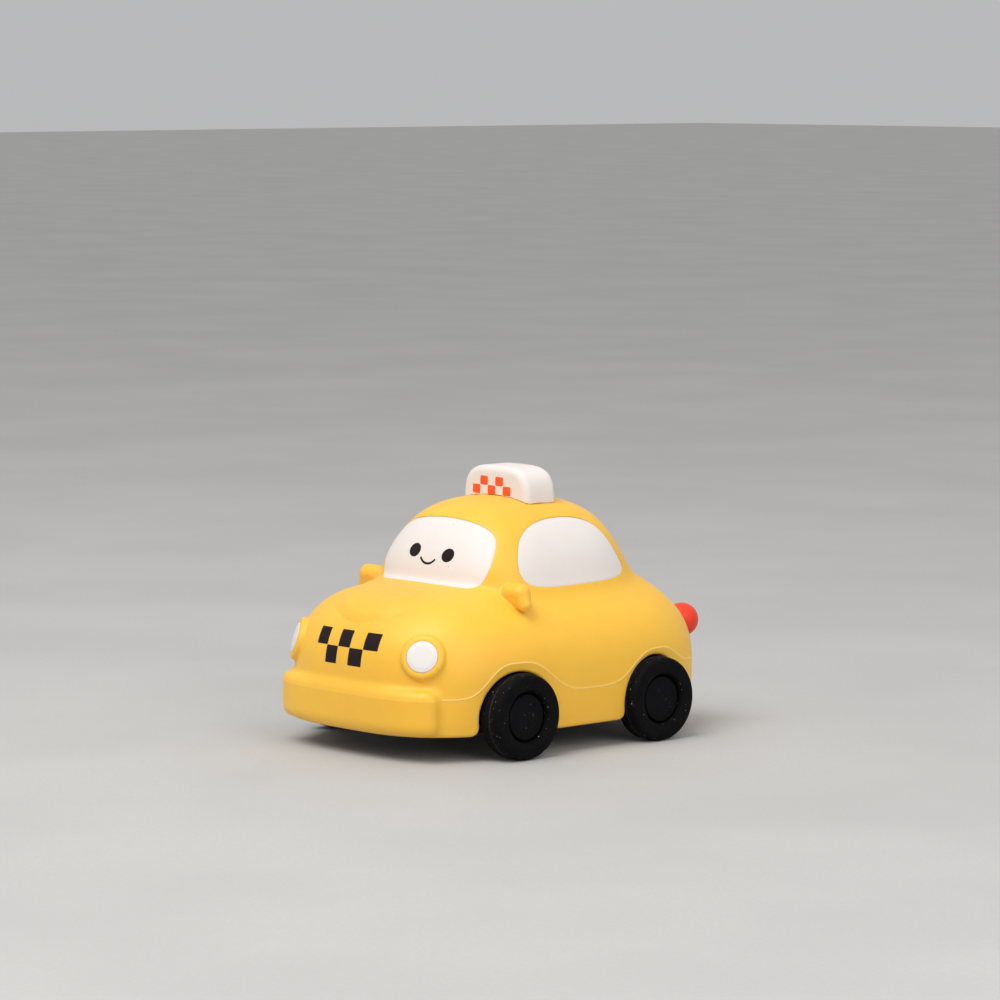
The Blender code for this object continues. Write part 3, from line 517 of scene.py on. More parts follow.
def refine(points, faces, chosen):
    """Chosen triangles cut in four, and their neighbours cut to match."""
    edges = np.sort(faces[:, [[0, 1], [1, 2], [2, 0]]].reshape(-1, 2), axis=1)
    unique, where = np.unique(edges, axis=0, return_inverse=True)
    where = where.reshape(-1, 3)
    marked = np.zeros(len(unique), bool)
    marked[where[chosen].ravel()] = True
    middle = np.full(len(unique), -1)
    middle[marked] = len(points) + np.arange(marked.sum())
    fresh = (points[unique[marked, 0]] + points[unique[marked, 1]]) / 2
    cut = marked[where]
    number = cut.sum(1)
    out = [faces[number == 0]]
    full = number == 3
    f, m = faces[full], middle[where[full]]
    out += [
        np.stack([f[:, 0], m[:, 0], m[:, 2]], -1),
        np.stack([m[:, 0], f[:, 1], m[:, 1]], -1),
        np.stack([m[:, 2], m[:, 1], f[:, 2]], -1),
        m,
    ]
    for amount in (1, 2):
        some = np.flatnonzero(number == amount)
        if not len(some):
            continue
        # Turn each face so that its odd edge comes first
        odd = np.argmax(cut[some], 1) if amount == 1 else np.argmin(cut[some], 1)
        order = (odd[:, None] + np.arange(3)) % 3
        f = np.take_along_axis(faces[some], order, 1)
        m = middle[np.take_along_axis(where[some], order, 1)]
        if amount == 1:
            out += [np.stack([f[:, 0], m[:, 0], f[:, 2]], -1), np.stack([m[:, 0], f[:, 1], f[:, 2]], -1)]
        else:
            out += [
                np.stack([f[:, 0], f[:, 1], m[:, 1]], -1),
                np.stack([f[:, 0], m[:, 1], m[:, 2]], -1),
                np.stack([m[:, 1], f[:, 2], m[:, 2]], -1),
            ]
    return np.concatenate([points, fresh]), np.concatenate(out)


def to_frame(points):
    return (np.asarray(points, float) + (0, MIDDLE_Y, 0)) * MM


def make_mesh(name, points, faces, turn_out=False, angle=35):
    data = bpy.data.meshes.new(name)
    faces = faces.tolist() if isinstance(faces, np.ndarray) else [list(map(int, f)) for f in faces]
    data.from_pydata(to_frame(points).tolist(), [], faces)
    if turn_out:
        work = bmesh.new()
        work.from_mesh(data)
        bmesh.ops.recalc_face_normals(work, faces=work.faces)
        work.to_mesh(data)
        work.free()
    data.shade_smooth()
    if angle < 180:
        data.set_sharp_from_angle(angle=math.radians(angle))
    return data


def piece(name, data, material, body, stands_for=()):
    obj = bpy.data.objects.new(name, data)
    collection.objects.link(obj)
    if not data.materials:
        data.materials.append(material)
    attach(obj, body)
    if stands_for:
        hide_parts(*stands_for)
    return obj


def boolean(data, cutters, operation="DIFFERENCE"):
    """The mesh after closed cutter meshes are taken from it or joined to it."""
    target = bpy.data.objects.new("target", data)
    collection.objects.link(target)
    tools = []
    for cutter in cutters:
        tool = bpy.data.objects.new("tool", cutter)
        collection.objects.link(tool)
        tools.append(tool)
        change = target.modifiers.new("cut", "BOOLEAN")
        change.operation = operation
        change.solver = "MANIFOLD"
        change.object = tool
    bpy.context.view_layer.update()
    graph = bpy.context.evaluated_depsgraph_get()
    made = bpy.data.meshes.new_from_object(target.evaluated_get(graph))
    for obj in [target] + tools:
        bpy.data.objects.remove(obj)
    return made


def read(data):
    points = np.empty(len(data.vertices) * 3, np.float32)
    data.vertices.foreach_get("co", points)
    return points.reshape(-1, 3).astype(float) / MM - (0, MIDDLE_Y, 0)


def set_normals(data, shape, near=0.03, along=0.6):
    """Shading normals taken from the shape where the mesh lies on its surface."""
    points = read(data)
    on = np.abs(shape(points)) < near
    slope = unit(slope_of(shape, points))
    loops = len(data.loops)
    vertex = np.empty(loops, np.int32)
    data.loops.foreach_get("vertex_index", vertex)
    current = np.empty(loops * 3, np.float32)
    data.corner_normals.foreach_get("vector", current)
    current = current.reshape(-1, 3)
    face = np.empty(len(data.polygons) * 3, np.float32)
    data.polygons.foreach_get("normal", face)
    sizes = np.empty(len(data.polygons), np.int32)
    data.polygons.foreach_get("loop_total", sizes)
    face = np.repeat(face.reshape(-1, 3), sizes, axis=0)
    wanted = slope[vertex]
    use = on[vertex] & ((wanted * face).sum(-1) > along)
    normals = np.where(use[:, None], wanted, current)
    data.normals_split_custom_set(normals.tolist())


def soften(profile, steps=6, closed=False):
    """A profile of (along, radius, fillet) with its corners rounded by their fillets."""
    out = []
    count = len(profile)
    for i, corner in enumerate(profile):
        here = np.array(corner[:2], float)
        fillet = corner[2] if len(corner) > 2 else 0
        if fillet <= 0 or (not closed and i in (0, count - 1)):
            out.append(tuple(here))
            continue
        before = np.array(profile[i - 1][:2], float)
        after = np.array(profile[(i + 1) % count][:2], float)
        to_before, to_after = before - here, after - here
        long_b, long_a = np.linalg.norm(to_before), np.linalg.norm(to_after)
        cosine = np.clip(to_before.dot(to_after) / (long_b * long_a), -1, 1)
        cut = min(fillet / max(math.tan(math.acos(cosine) / 2), 1e-6), 0.48 * long_b, 0.48 * long_a)
        start, end = here + to_before / long_b * cut, here + to_after / long_a * cut
        for k in range(steps + 1):
            t = k / steps
            out.append(tuple((1 - t) ** 2 * start + 2 * t * (1 - t) * here + t * t * end))
    return out


def turned(name, profile, centre, axis, segments=128, closed=False, angle=40):
    """A lathe shape from (along, radius) pairs about the axis through centre."""
    way = unit(np.asarray(axis, float))
    side = unit(np.cross(way, (0, 0, 1) if abs(way[2]) < 0.9 else (1, 0, 0)))
    other = np.cross(way, side)
    turn = 2 * np.pi * np.arange(segments) / segments
    points, rings = [], []
    for along, radius in profile:
        start = len(points)
        if radius < 1e-6:
            points.append(np.asarray(centre, float) + way * along)
            rings.append([start])
        else:
            ring = (
                np.asarray(centre, float)
                + way * along
                + radius * (np.cos(turn)[:, None] * side + np.sin(turn)[:, None] * other)
            )
            points.extend(ring)
            rings.append(list(range(start, start + segments)))
    pairs = list(zip(rings[:-1], rings[1:]))
    if closed:
        pairs.append((rings[-1], rings[0]))
    faces = []
    for here, there in pairs:
        for i in range(segments):
            j = (i + 1) % segments
            if len(here) == 1 and len(there) == 1:
                break
            if len(here) == 1:
                faces.append((here[0], there[i], there[j]))
            elif len(there) == 1:
                faces.append((here[i], there[0], here[j]))
            else:
                faces.append((here[i], there[i], there[j], here[j]))
    return make_mesh(name, np.array(points), faces, turn_out=True, angle=angle)


def stacked(name, rings, angle=35):
    """A closed skin through rings of equal count, with flat caps."""
    count = len(rings[0])
    points = np.concatenate(rings)
    faces = []
    for r in range(len(rings) - 1):
        for i in range(count):
            j = (i + 1) % count
            faces.append((r * count + i, (r + 1) * count + i, (r + 1) * count + j, r * count + j))
    faces.append(list(range(count)))
    faces.append([(len(rings) - 1) * count + i for i in range(count)])
    return make_mesh(name, points, faces, turn_out=True, angle=angle)


# ---------------------------------------------------------------- materials


class Nodes:
    def __init__(self, name):
        self.material = bpy.data.materials.new(name)
        self.material.use_nodes = True
        self.tree = self.material.node_tree
        self.shader = self.tree.nodes["Principled BSDF"]
        self.place = self.add("ShaderNodeTexCoord").outputs["Object"]

    def add(self, kind, **settings):
        made = self.tree.nodes.new(kind)
        for key, value in settings.items():
            setattr(made, key, value)
        return made

    def put(self, socket, value):
        if hasattr(value, "is_output"):
            self.tree.links.new(value, socket)
        elif isinstance(value, (tuple, list)) and len(value) == 3 and socket.type == "RGBA":
            socket.default_value = (*value, 1.0)
        else:
            socket.default_value = value

    def noise(self, scale, detail=3.0, roughness=0.5, place=None):
        made = self.add("ShaderNodeTexNoise")
        self.put(made.inputs["Vector"], place or self.place)
        self.put(made.inputs["Scale"], scale)
        self.put(made.inputs["Detail"], detail)
        self.put(made.inputs["Roughness"], roughness)
        return made.outputs["Fac"]

    def ramp(self, value, low, high, a=0.0, b=1.0):
        made = self.add("ShaderNodeMapRange", interpolation_type="SMOOTHSTEP")
        self.put(made.inputs["Value"], value)
        for name, setting in (("From Min", low), ("From Max", high), ("To Min", a), ("To Max", b)):
            self.put(made.inputs[name], setting)
        return made.outputs["Result"]

    def math(self, operation, a, b=0.0):
        made = self.add("ShaderNodeMath", operation=operation)
        self.put(made.inputs[0], a)
        self.put(made.inputs[1], b)
        return made.outputs[0]

    def mix(self, factor, a, b, mode="MIX"):
        made = self.add("ShaderNodeMix", data_type="RGBA", blend_type=mode)
        self.put(made.inputs[0], factor)
        self.put(made.inputs[6], a)
        self.put(made.inputs[7], b)
        return made.outputs[2]

    def specks(self, scale, share, size):
        """Small scattered dots: share of the cells hold one, of the given part of a cell."""
        cells = self.add("ShaderNodeTexVoronoi")
        self.put(cells.inputs["Vector"], self.place)
        self.put(cells.inputs["Scale"], scale)
        pick = self.add("ShaderNodeSeparateColor")
        self.put(pick.inputs[0], cells.outputs["Color"])
        chosen = self.ramp(pick.outputs[0], 1 - share, 1 - share * 0.9)
        dot = self.ramp(cells.outputs["Distance"], size * 0.6, size, 1.0, 0.0)
        return self.math("MULTIPLY", chosen, dot)

    def bump(self, height, strength, distance):
        made = self.add("ShaderNodeBump")
        self.put(made.inputs["Height"], height)
        self.put(made.inputs["Strength"], strength)
        self.put(made.inputs["Distance"], distance)
        self.put(self.shader.inputs["Normal"], made.outputs["Normal"])

    def set(self, **values):
        for key, value in values.items():
            self.put(self.shader.inputs[key.replace("_", " ")], value)
        return self


def soft_vinyl(name, colour, warm, deep, roughness=0.5, seam_highlight=False, subsurface=0.12, radius=(1.0, 0.45, 0.12), shine=0.6):
    """Soft matt vinyl: slow colour drift, fine grain, a few specks of dust and slightly worn roughness, and optionally
    a painted highlight that lightens the colour along the mould's parting line.
    """
    n = Nodes(name)
    drift = n.ramp(n.noise(55, 2.0), 0.35, 0.65)
    base = n.mix(drift, colour, warm)
    shade = n.ramp(n.noise(420, 3.0), 0.3, 0.75)
    base = n.mix(n.math("MULTIPLY", shade, 0.16), base, deep)
    fleck = n.specks(300, 0.02, 0.07)
    base = n.mix(n.math("MULTIPLY", fleck, 0.45), base, tuple(c * 0.35 for c in deep))
    if seam_highlight:
        # Painted highlight: pale yellow mixed into the colour along the parting line's ridge, standing in for light
        # catching it
        line = n.add("ShaderNodeAttribute", attribute_name="parting_highlight").outputs["Fac"]
        base = n.mix(n.math("MULTIPLY", line, 0.42), base, (1.0, 0.78, 0.30))
    wear = n.ramp(n.noise(900, 4.0, 0.6), 0.3, 0.7, roughness - 0.05, roughness + 0.06)
    grain = n.noise(5200, 2.0, 0.6)
    ripple = n.noise(160, 2.0)
    height = n.math("ADD", n.math("MULTIPLY", grain, 0.012), n.math("MULTIPLY", ripple, 0.05))
    n.bump(height, 0.6, 0.001)
    n.set(Base_Color=base, Roughness=wear, Subsurface_Weight=subsurface, Subsurface_Scale=0.002)
    n.set(Subsurface_Radius=radius, Specular_IOR_Level=shine, Sheen_Weight=0.06, Sheen_Roughness=0.5)
    return n.material


def printed(name, colour, spread):
    """Pad printed ink: near-flat film with pinholes and a faint edge-to-edge tone."""
    n = Nodes(name)
    tone = n.ramp(n.noise(700, 4.0, 0.65), 0.3, 0.7)
    base = n.mix(tone, colour, spread)
    pin = n.specks(900, 0.03, 0.16)
    base = n.mix(n.math("MULTIPLY", pin, 0.35), base, tuple(min(1.0, c * 2.5 + 0.05) for c in spread))
    n.bump(n.noise(3800, 3.0), 0.25, 0.00004)
    n.set(Base_Color=base, Roughness=n.ramp(tone, 0, 1, 0.5, 0.62), Specular_IOR_Level=0.14)
    return n.material


def dusty_rubber(name, colour, pale, roughness=0.72, dust=1.0, share=0.2):
    """Black rubber or plastic that has rolled on paving: bloom, fine dust and bright grit specks."""
    n = Nodes(name)
    bloom = n.ramp(n.noise(260, 4.0, 0.6), 0.35, 0.75)
    base = n.mix(n.math("MULTIPLY", bloom, 0.5), colour, pale)
    powder = n.ramp(n.noise(3400, 5.0, 0.75), 0.60, 0.74)
    base = n.mix(n.math("MULTIPLY", powder, 0.045 * dust), base, (0.19, 0.18, 0.17))
    rim = n.add("ShaderNodeAttribute", attribute_name="mould").outputs["Fac"]
    rim = n.math("MULTIPLY", rim, n.ramp(n.noise(1500, 3.0), 0.3, 0.7, 0.25, 0.8))
    base = n.mix(rim, base, (0.055, 0.055, 0.058))
    grit = n.math("MAXIMUM", n.specks(1150, share, 0.15), n.math("MULTIPLY", n.specks(2300, share, 0.2), 0.6))
    base = n.mix(n.math("MULTIPLY", grit, 0.75 * dust), base, (0.38, 0.36, 0.34))
    worn = n.ramp(n.noise(1200, 4.0), 0.3, 0.7, roughness - 0.08, roughness + 0.08)
    height = n.math("ADD", n.math("MULTIPLY", n.noise(2600, 4.0, 0.65), 0.03), n.math("MULTIPLY", grit, 0.03))
    n.bump(height, 0.7, 0.001)
    n.set(Base_Color=base, Roughness=worn, Specular_IOR_Level=0.08)
    return n.material


def hard_plastic(name, colour, pale, roughness=0.45, grain=0.02):
    """Injection-moulded plastic: spark-eroded grain, flow tone and rubbed edges."""
    n = Nodes(name)
    tone = n.ramp(n.noise(120, 3.0), 0.3, 0.7)
    base = n.mix(tone, colour, pale)
    edge = n.ramp(n.add("ShaderNodeNewGeometry").outputs["Pointiness"], 0.52, 0.62)
    rub = n.math("MULTIPLY", edge, n.ramp(n.noise(900, 4.0), 0.35, 0.65))
    base = n.mix(n.math("MULTIPLY", rub, 0.35), base, tuple(min(1.0, c * 1.6 + 0.03) for c in pale))
    base = n.mix(n.math("MULTIPLY", n.specks(900, 0.05, 0.09), 0.4), base, (0.4, 0.38, 0.36))
    n.bump(n.noise(4200, 3.0, 0.7), 0.5, grain * MM)
    n.set(Base_Color=base, Roughness=n.ramp(n.noise(800, 3.0), 0.3, 0.7, roughness - 0.06, roughness + 0.08))
    return n.material


def steel(name, colour, stain, roughness=0.3, stretch=(1, 40, 40)):
    """Drawn or turned steel: fine lines across the given directions, faint stain."""
    n = Nodes(name)
    mapping = n.add("ShaderNodeMapping")
    n.put(mapping.inputs["Vector"], n.place)
    mapping.inputs["Scale"].default_value = stretch
    lines = n.noise(500, 4.0, 0.7, mapping.outputs["Vector"])
    tone = n.ramp(n.noise(300, 4.0), 0.35, 0.7)
    n.bump(lines, 0.3, 0.00002)
    n.set(
        Base_Color=n.mix(n.math("MULTIPLY", tone, 0.5), colour, stain),
        Metallic=1.0,
        Roughness=n.ramp(lines, 0.3, 0.7, roughness - 0.08, roughness + 0.12),
    )
    return n.material


yellow = soft_vinyl("yellow_vinyl", (0.93, 0.525, 0.036), (0.90, 0.49, 0.031), (0.86, 0.44, 0.023), 0.5, seam_highlight=True)
white = soft_vinyl(
    "white_vinyl", (0.80, 0.737, 0.70), (0.785, 0.718, 0.68), (0.735, 0.665, 0.62), 0.52, subsurface=0.1,
    radius=(0.8, 0.6, 0.5), shine=0.25,
)
lamp_white = soft_vinyl(
    "lamp_white", (0.80, 0.75, 0.72), (0.785, 0.73, 0.70), (0.735, 0.68, 0.65), 0.44, subsurface=0.1,
    radius=(0.8, 0.7, 0.6), shine=0.3,
)
lamp_red = soft_vinyl(
    "lamp_red", (0.82, 0.046, 0.010), (0.78, 0.036, 0.008), (0.62, 0.02, 0.006), 0.45, subsurface=0.18,
    radius=(1.0, 0.15, 0.08), shine=0.4,
)
ink = printed("dark_ink", (0.012, 0.007, 0.008), (0.018, 0.011, 0.012))
orange_ink = printed("orange_ink", (0.87, 0.125, 0.030), (0.82, 0.10, 0.022))
tyre_rubber = dusty_rubber("tyre_rubber", (0.0028, 0.0027, 0.0033), (0.0050, 0.0049, 0.0060), 0.72, 1.25)
hub_plastic = dusty_rubber("hub_plastic", (0.0024, 0.0023, 0.0032), (0.0042, 0.0041, 0.0055), 0.6, 0.35, 0.07)
black_plastic = hard_plastic("black_plastic", (0.013, 0.013, 0.014), (0.020, 0.020, 0.022), 0.5)
axle_steel = steel("axle_steel", (0.62, 0.62, 0.64), (0.42, 0.40, 0.38), 0.28, (1, 40, 40))
screw_steel = steel("screw_steel", (0.60, 0.60, 0.61), (0.44, 0.42, 0.37), 0.34, (30, 30, 2))
spring_steel = steel("spring_steel", (0.20, 0.24, 0.33), (0.30, 0.24, 0.18), 0.30, (30, 1, 1))
cup_steel = steel("cup_steel", (0.58, 0.58, 0.59), (0.45, 0.43, 0.40), 0.36, (1, 30, 30))
gear_nylon = hard_plastic("gear_nylon", (0.72, 0.69, 0.60), (0.66, 0.62, 0.52), 0.42, 0.01)
gear_nylon.node_tree.nodes["Principled BSDF"].inputs["Subsurface Weight"].default_value = 0.15
gear_nylon.node_tree.nodes["Principled BSDF"].inputs["Subsurface Scale"].default_value = 0.001


# ---------------------------------------------------------------- body shell

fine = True
CELL = 0.5 if fine else 0.7

points, quads = net(shell_outside, (-29.3, -42.3, 3.6), (29.3, 42.3, 50.0), CELL)
for _ in range(2):
    points = settle(shell_outside, relax(points, quads), 2)
faces = triangles(points, quads)


def edge_lines(p):
    """Distance to the nearest line that needs small faces: the parting line and the window edges."""
    x, y, z = p.T
    near = np.where(z < 20, np.abs(parting_offset(y, z)), 9.0)
    for kind, across, facing in (("front", x, -y), ("rear", x, y), ("side", y, np.abs(x))):
        gap = np.abs(window_gap(kind, across, z))
        near = np.where((facing > 8) & (z > 29), np.minimum(near, gap), near)
    return np.where(z < SKIRT_Z + 0.2, 9.0, near)


for reach in (0.55, 0.32) if fine else (0.5,):
    middle = points[faces].mean(1)
    points, faces = refine(points, faces, edge_lines(middle) < reach)
    points = settle(shell_outside, points, 3)
points = settle(shell_outside, points, 3)
shell = make_mesh("body_moulding", points, faces, angle=180)

inner_points, inner_quads = net(shell_inside, (-27, -41, 0.5), (27, 41, 49), 1.15)
inner_points = settle(shell_inside, inner_points, 2)
hollow = make_mesh("hollow", inner_points, inner_quads, angle=180)


def window_prism(kind, sign, grow):
    outline = window_outline(kind, grow, 200)
    if kind == "side":
        hit = over_side(outline, sign)
        way = np.array([float(sign), 0, 0])
    else:
        side = -1.0 if kind == "front" else 1.0
        hit = over_front(outline, side)
        way = np.array([0, side, 0])
    return stacked("opening", [hit + way * 4, hit - way * 7])


cutters = [hollow]
for kind, sign in (("front", 1), ("rear", 1), ("side", 1), ("side", -1)):
    cutters.append(window_prism(kind, sign, 0.015))
for sign in (1, -1):
    flip = np.array([sign, 1, 1])
    socket = [(-6, 0), (-6, 1.55), (-0.7, 1.55), (-0.7, HEAD_R + 0.04), (3, HEAD_R + 0.04), (3, 0)]
    cutters.append(turned("socket", socket, head_seat * flip, head_facing * flip, 96))
    socket = [(-8, 0), (-8, 1.55), (-1.5, 1.55), (-1.5, TAIL_R + 0.05), (3, TAIL_R + 0.05), (3, 0)]
    cutters.append(turned("socket", socket, tail_seat * flip, tail_facing * flip, 96))
sign_y = (1.0 + 7.1) / 2
roof = cast(skin, np.array([[0, sign_y, 30.0]]), np.array([[0, 0, 1.0]]))[0]
cutters.append(turned("socket", [(-6, 0), (-6, 2.15), (4, 2.15), (4, 0)], roof, (0, 0, 1), 64))
shell = boolean(shell, cutters)
shell.name = "body_moulding"
shell.materials.clear()
shell.shade_smooth()
shell.set_sharp_from_angle(angle=math.radians(32))
set_normals(shell, shell_outside)
where = read(shell)
# Mask for the painted highlight along the parting line, weaker on the bumper
line = np.exp(-((parting_offset(where[:, 1], where[:, 2]) / 0.16) ** 2)) * (where[:, 2] < 20)
line *= (np.abs(shell_outside(where)) < 0.05) * np.where(where[:, 1] < -33.4, 0.25, 1.0)
shell.attributes.new("parting_highlight", "FLOAT", "POINT").data.foreach_set("value", line.astype(np.float32))
piece("body_moulding", shell, yellow, "body", ["body_shell"])


# ---------------------------------------------------------------- windows


def window_panel(name, kind, sign):
    """A plug that fills its opening: face flush with the shell, rolled edge, straight wall and flat back."""
    count = 200
    levels = [(-0.015 - e, 0.07 * math.exp(-((e / 0.18) ** 2)) + 0.01) for e in (0, 0.05, 0.11, 0.18, 0.26, 0.36, 0.5)]
    flats = [window_outline(kind, grow, count) for grow, _ in levels]
    drops = [drop for _, drop in levels]
    inner = flats[-1]
    middle = inner.mean(0)
    for share in np.linspace(0.96, 0.04, 24):
        flats.append(middle + share * (inner - middle))
        drops.append(0.01)
    flats.append(middle[None])
    drops.append(0.01)
    side = -1.0 if kind == "front" else 1.0

    def hits(flat):
        return over_side(flat, sign) if kind == "side" else over_front(flat, side)

    way = np.array([float(sign), 0, 0]) if kind == "side" else np.array([0, side, 0])
    rings = []
    for flat, drop in zip(flats, drops):
        hit = hits(flat)
        rings.append(hit - unit(slope_of(skin, hit)) * drop)
    back = [hits(flats[0]) - way * WALL, hits(middle + 0.5 * (inner - middle)) - way * WALL, hits(middle[None]) - way * WALL]
    order = rings[::-1] + back
    points, starts = [], []
    for ring in order:
        starts.append((sum(map(len, points)), len(ring)))
        points.append(ring)
    faces = []
    for (a, na), (b, nb) in zip(starts[:-1], starts[1:]):
        for i in range(count):
            j = (i + 1) % count
            if na == 1:
                faces.append((a, b + i, b + j))
            elif nb == 1:
                faces.append((a + i, b, a + j))
            else:
                faces.append((a + i, b + i, b + j, a + j))
    return make_mesh(name, np.concatenate(points), faces, turn_out=True, angle=50)


for name, kind, sign, node in (
    ("windscreen_panel", "front", 1, "windscreen"),
    ("rear_window_panel", "rear", 1, "rear_window"),
    ("side_panel_left", "side", 1, "side_window_left"),
    ("side_panel_right", "side", -1, "side_window_right"),
):
    panel = window_panel(name, kind, sign)
    set_normals(panel, skin, 0.025, 0.8)
    piece(name, panel, white, "body", [node])


# ---------------------------------------------------------------- printing


def draped(rings, side=-1.0, lift=0.035, depth=0.06, shape=skin, start=8.0):
    """A thin film on the skin: rings from the rim to the middle, each a list of (x, z)."""
    tops = []
    count = len(rings[0])
    for i, ring in enumerate(rings):
        hit = over_front(ring, side, shape, start)
        rise = lift * (0.35 if i == 0 else 1.0)
        tops.append(hit + unit(slope_of(shape, hit)) * rise)
    hit = over_front(rings[0], side, shape, start)
    under = hit - unit(slope_of(shape, hit)) * depth
    centre = np.asarray(rings[-1]).mean(0)[None]
    hit = over_front(centre, side, shape, start)
    tip = hit + unit(slope_of(shape, hit)) * lift
    tail = hit - unit(slope_of(shape, hit)) * depth
    points = np.concatenate([tail, under] + tops + [tip])
    faces = [(0, 1 + (i + 1) % count, 1 + i) for i in range(count)]
    for r in range(len(tops)):
        for i in range(count):
            j = (i + 1) % count
            faces.append((1 + r * count + i, 1 + r * count + j, 1 + (r + 1) * count + j, 1 + (r + 1) * count + i))
    last = 1 + len(tops) * count
    faces += [(last + i, last + (i + 1) % count, last + count) for i in range(count)]
    return points, faces


def film(name, shapes, material):
    points, faces, start = [], [], 0
    for p, f in shapes:
        points.append(p)
        faces += [[start + v for v in face] for face in f]
        start += len(p)
    piece(name, make_mesh(name, np.concatenate(points), faces, turn_out=True, angle=60), material, "body", ())


def oval(centre, half_x, half_z, count=64):
    t = 2 * np.pi * np.arange(count) / count
    rings = []
    for share in (1.0, 0.96, 0.88, 0.7, 0.5, 0.3, 0.12):
        rings.append(np.stack([centre[0] + share * half_x * np.cos(t), centre[1] + share * half_z * np.sin(t)], -1))
    return rings


def panel_face(p):
    return skin(p) + 0.01


for name, centre in (("printed_eye_right", (-4.15, 38.0)), ("printed_eye_left", (5.64, 37.68))):
    film(name, [draped(oval(centre, 1.62, 1.3), shape=panel_face)], ink)


def stroke(path, width, count=40, cap=10):
    """Rings of a round-ended line along a path function of 0 to 1."""
    t = np.linspace(0, 1, count)
    line = np.array([path(v) for v in t])
    way = unit(np.gradient(line, axis=0))
    normal = np.stack([-way[:, 1], way[:, 0]], -1)
    rings = []
    for share in (1.0, 0.8, 0.45):
        half = width / 2 * share
        upper = line + normal * half
        lower = (line - normal * half)[::-1]
        ends = []
        for at, direction, first in ((line[-1], way[-1], normal[-1]), (line[0], -way[0], -normal[0])):
            turn = np.linspace(0, np.pi, cap)[1:-1]
            ends.append(at + half * (np.cos(turn)[:, None] * first + np.sin(turn)[:, None] * direction))
        rings.append(np.concatenate([upper, ends[0], lower, ends[1]]))
    return rings


def ribbon_film(rings, lift=0.035, depth=0.06, shape=panel_face, side=-1.0):
    """A long thin film, whose inner ring is closed across its width."""
    count = len(rings[0])
    tops = []
    for i, ring in enumerate(rings):
        hit = over_front(ring, side, shape)
        tops.append(hit + unit(slope_of(shape, hit)) * lift * (0.35 if i == 0 else 1.0))
    hit = over_front(rings[0], side, shape)
    under = hit - unit(slope_of(shape, hit)) * depth
    layers = [under] + tops
    points = np.concatenate(layers)
    faces = []
    for r in range(len(layers) - 1):
        for i in range(count):
            j = (i + 1) % count
            faces.append((r * count + i, r * count + j, (r + 1) * count + j, (r + 1) * count + i))
    along = 40
    mirror = [None] * count
    # The upper edge runs forward, the lower edge runs back, and the caps join them
    first_cap = (count - 2 * along) // 2
    loop = list(range(count))
    pairs = []
    a, b = 0, 2 * along + first_cap - 1
    for k in range(along):
        pairs.append((a + k, b - k))
    for base, flip in ((0, False), ((len(layers) - 1) * count, True)):
        for (p, q), (r, s) in zip(pairs[:-1], pairs[1:]):
            quad = (base + p, base + r, base + s, base + q)
            faces.append(quad[::-1] if flip else quad)
        cap_a = [along - 1 + k for k in range(first_cap + 2)]
        cap_b = [2 * along + first_cap - 1 + k for k in range(first_cap + 1)] + [0]
        for cap_loop in (cap_a, cap_b):
            ids = [base + loop[v % count] for v in cap_loop]
            faces.append(ids[::-1] if flip else ids)
    return points, faces


def smile(t):
    return (-1.75 + 4.15 * t, 36.7 - 0.15 * t - 0.88 * (1 - abs(2 * t - 1) ** 2.3))


film("printed_smile", [ribbon_film(stroke(smile, 0.44))], ink)


def cell_rings(x0, x1, z0, z1, count=16, corner=0.12):
    """A square cell with very slightly rounded corners, as rings."""
    side = np.linspace(0, 1, count, endpoint=False)
    rim = np.concatenate([
        np.stack([side, np.zeros(count)], -1),
        np.stack([np.ones(count), side], -1),
        np.stack([1 - side, np.ones(count)], -1),
        np.stack([np.zeros(count), 1 - side], -1),
    ])
    middle = np.array([(x0 + x1) / 2, (z0 + z1) / 2])
    half = np.array([(x1 - x0) / 2, (z1 - z0) / 2])
    local = (rim * 2 - 1)
    inside = np.abs(local) * half - (half - corner)
    far = np.linalg.norm(np.maximum(inside, 0), axis=1)
    pull = np.where((inside > 0).all(1) & (far > corner), corner / np.maximum(far, 1e-9), 1.0)
    moved = np.where(
        (inside > 0).all(1)[:, None], np.sign(local) * ((half - corner) + np.maximum(inside, 0) * pull[:, None]), local * half
    )
    return [middle + moved * share for share in (1.0, 0.95, 0.8, 0.6, 0.4, 0.2)]


CHECK_X = [-8.75, -5.5, -2.2, 1.25, 5.15, 9.15]
CHECK_Z = [17.6, 20.97, 24.2]
cells = []
for row, columns in ((1, (0, 2, 4)), (0, (1, 3))):
    for c in columns:
        rings = cell_rings(CHECK_X[c], CHECK_X[c + 1], CHECK_Z[row], CHECK_Z[row + 1])
        cells.append(draped(rings))
film("printed_bonnet_checks", cells, ink)


# ---------------------------------------------------------------- roof sign

SIGN_Y = (-0.2, 8.35)


def sign_shape(p):
    x, y, z = p[..., 0], p[..., 1], p[..., 2]
    a, b = np.abs(x) / (SIGN_HALF - 0.15), np.maximum(z - 46, 0) / (SIGN_TOP - 46.3)
    total = np.maximum(a**3.6 + b**3.6, 1e-9)
    value = total ** (1 / 3.6)
    common = value / total
    steep = np.sqrt((common * a**2.6 / SIGN_HALF) ** 2 + (common * b**2.6 / (SIGN_TOP - 46.3)) ** 2)
    face = (value - 1) / np.maximum(steep, 0.02)
    bulge = 0.18 * (1 - np.clip(x / SIGN_HALF, -1, 1) ** 2)
    thick = np.abs(y - sum(SIGN_Y) / 2) - (SIGN_Y[1] - SIGN_Y[0]) / 2 + 0.18 - bulge
    d = smooth_max(face, thick, 1.6)
    # A slight draught: narrower towards the top
    d = d + 0.02 * np.maximum(z - 47, 0)
    peg = np.maximum(np.hypot(x, y - sum(SIGN_Y) / 2) - 2.0, roof[2] - 4.5 - z)
    peg = np.maximum(peg, z - roof[2] - 2)
    return np.minimum(smooth_max(d, -(skin(p) - 0.04), 0.12), peg)


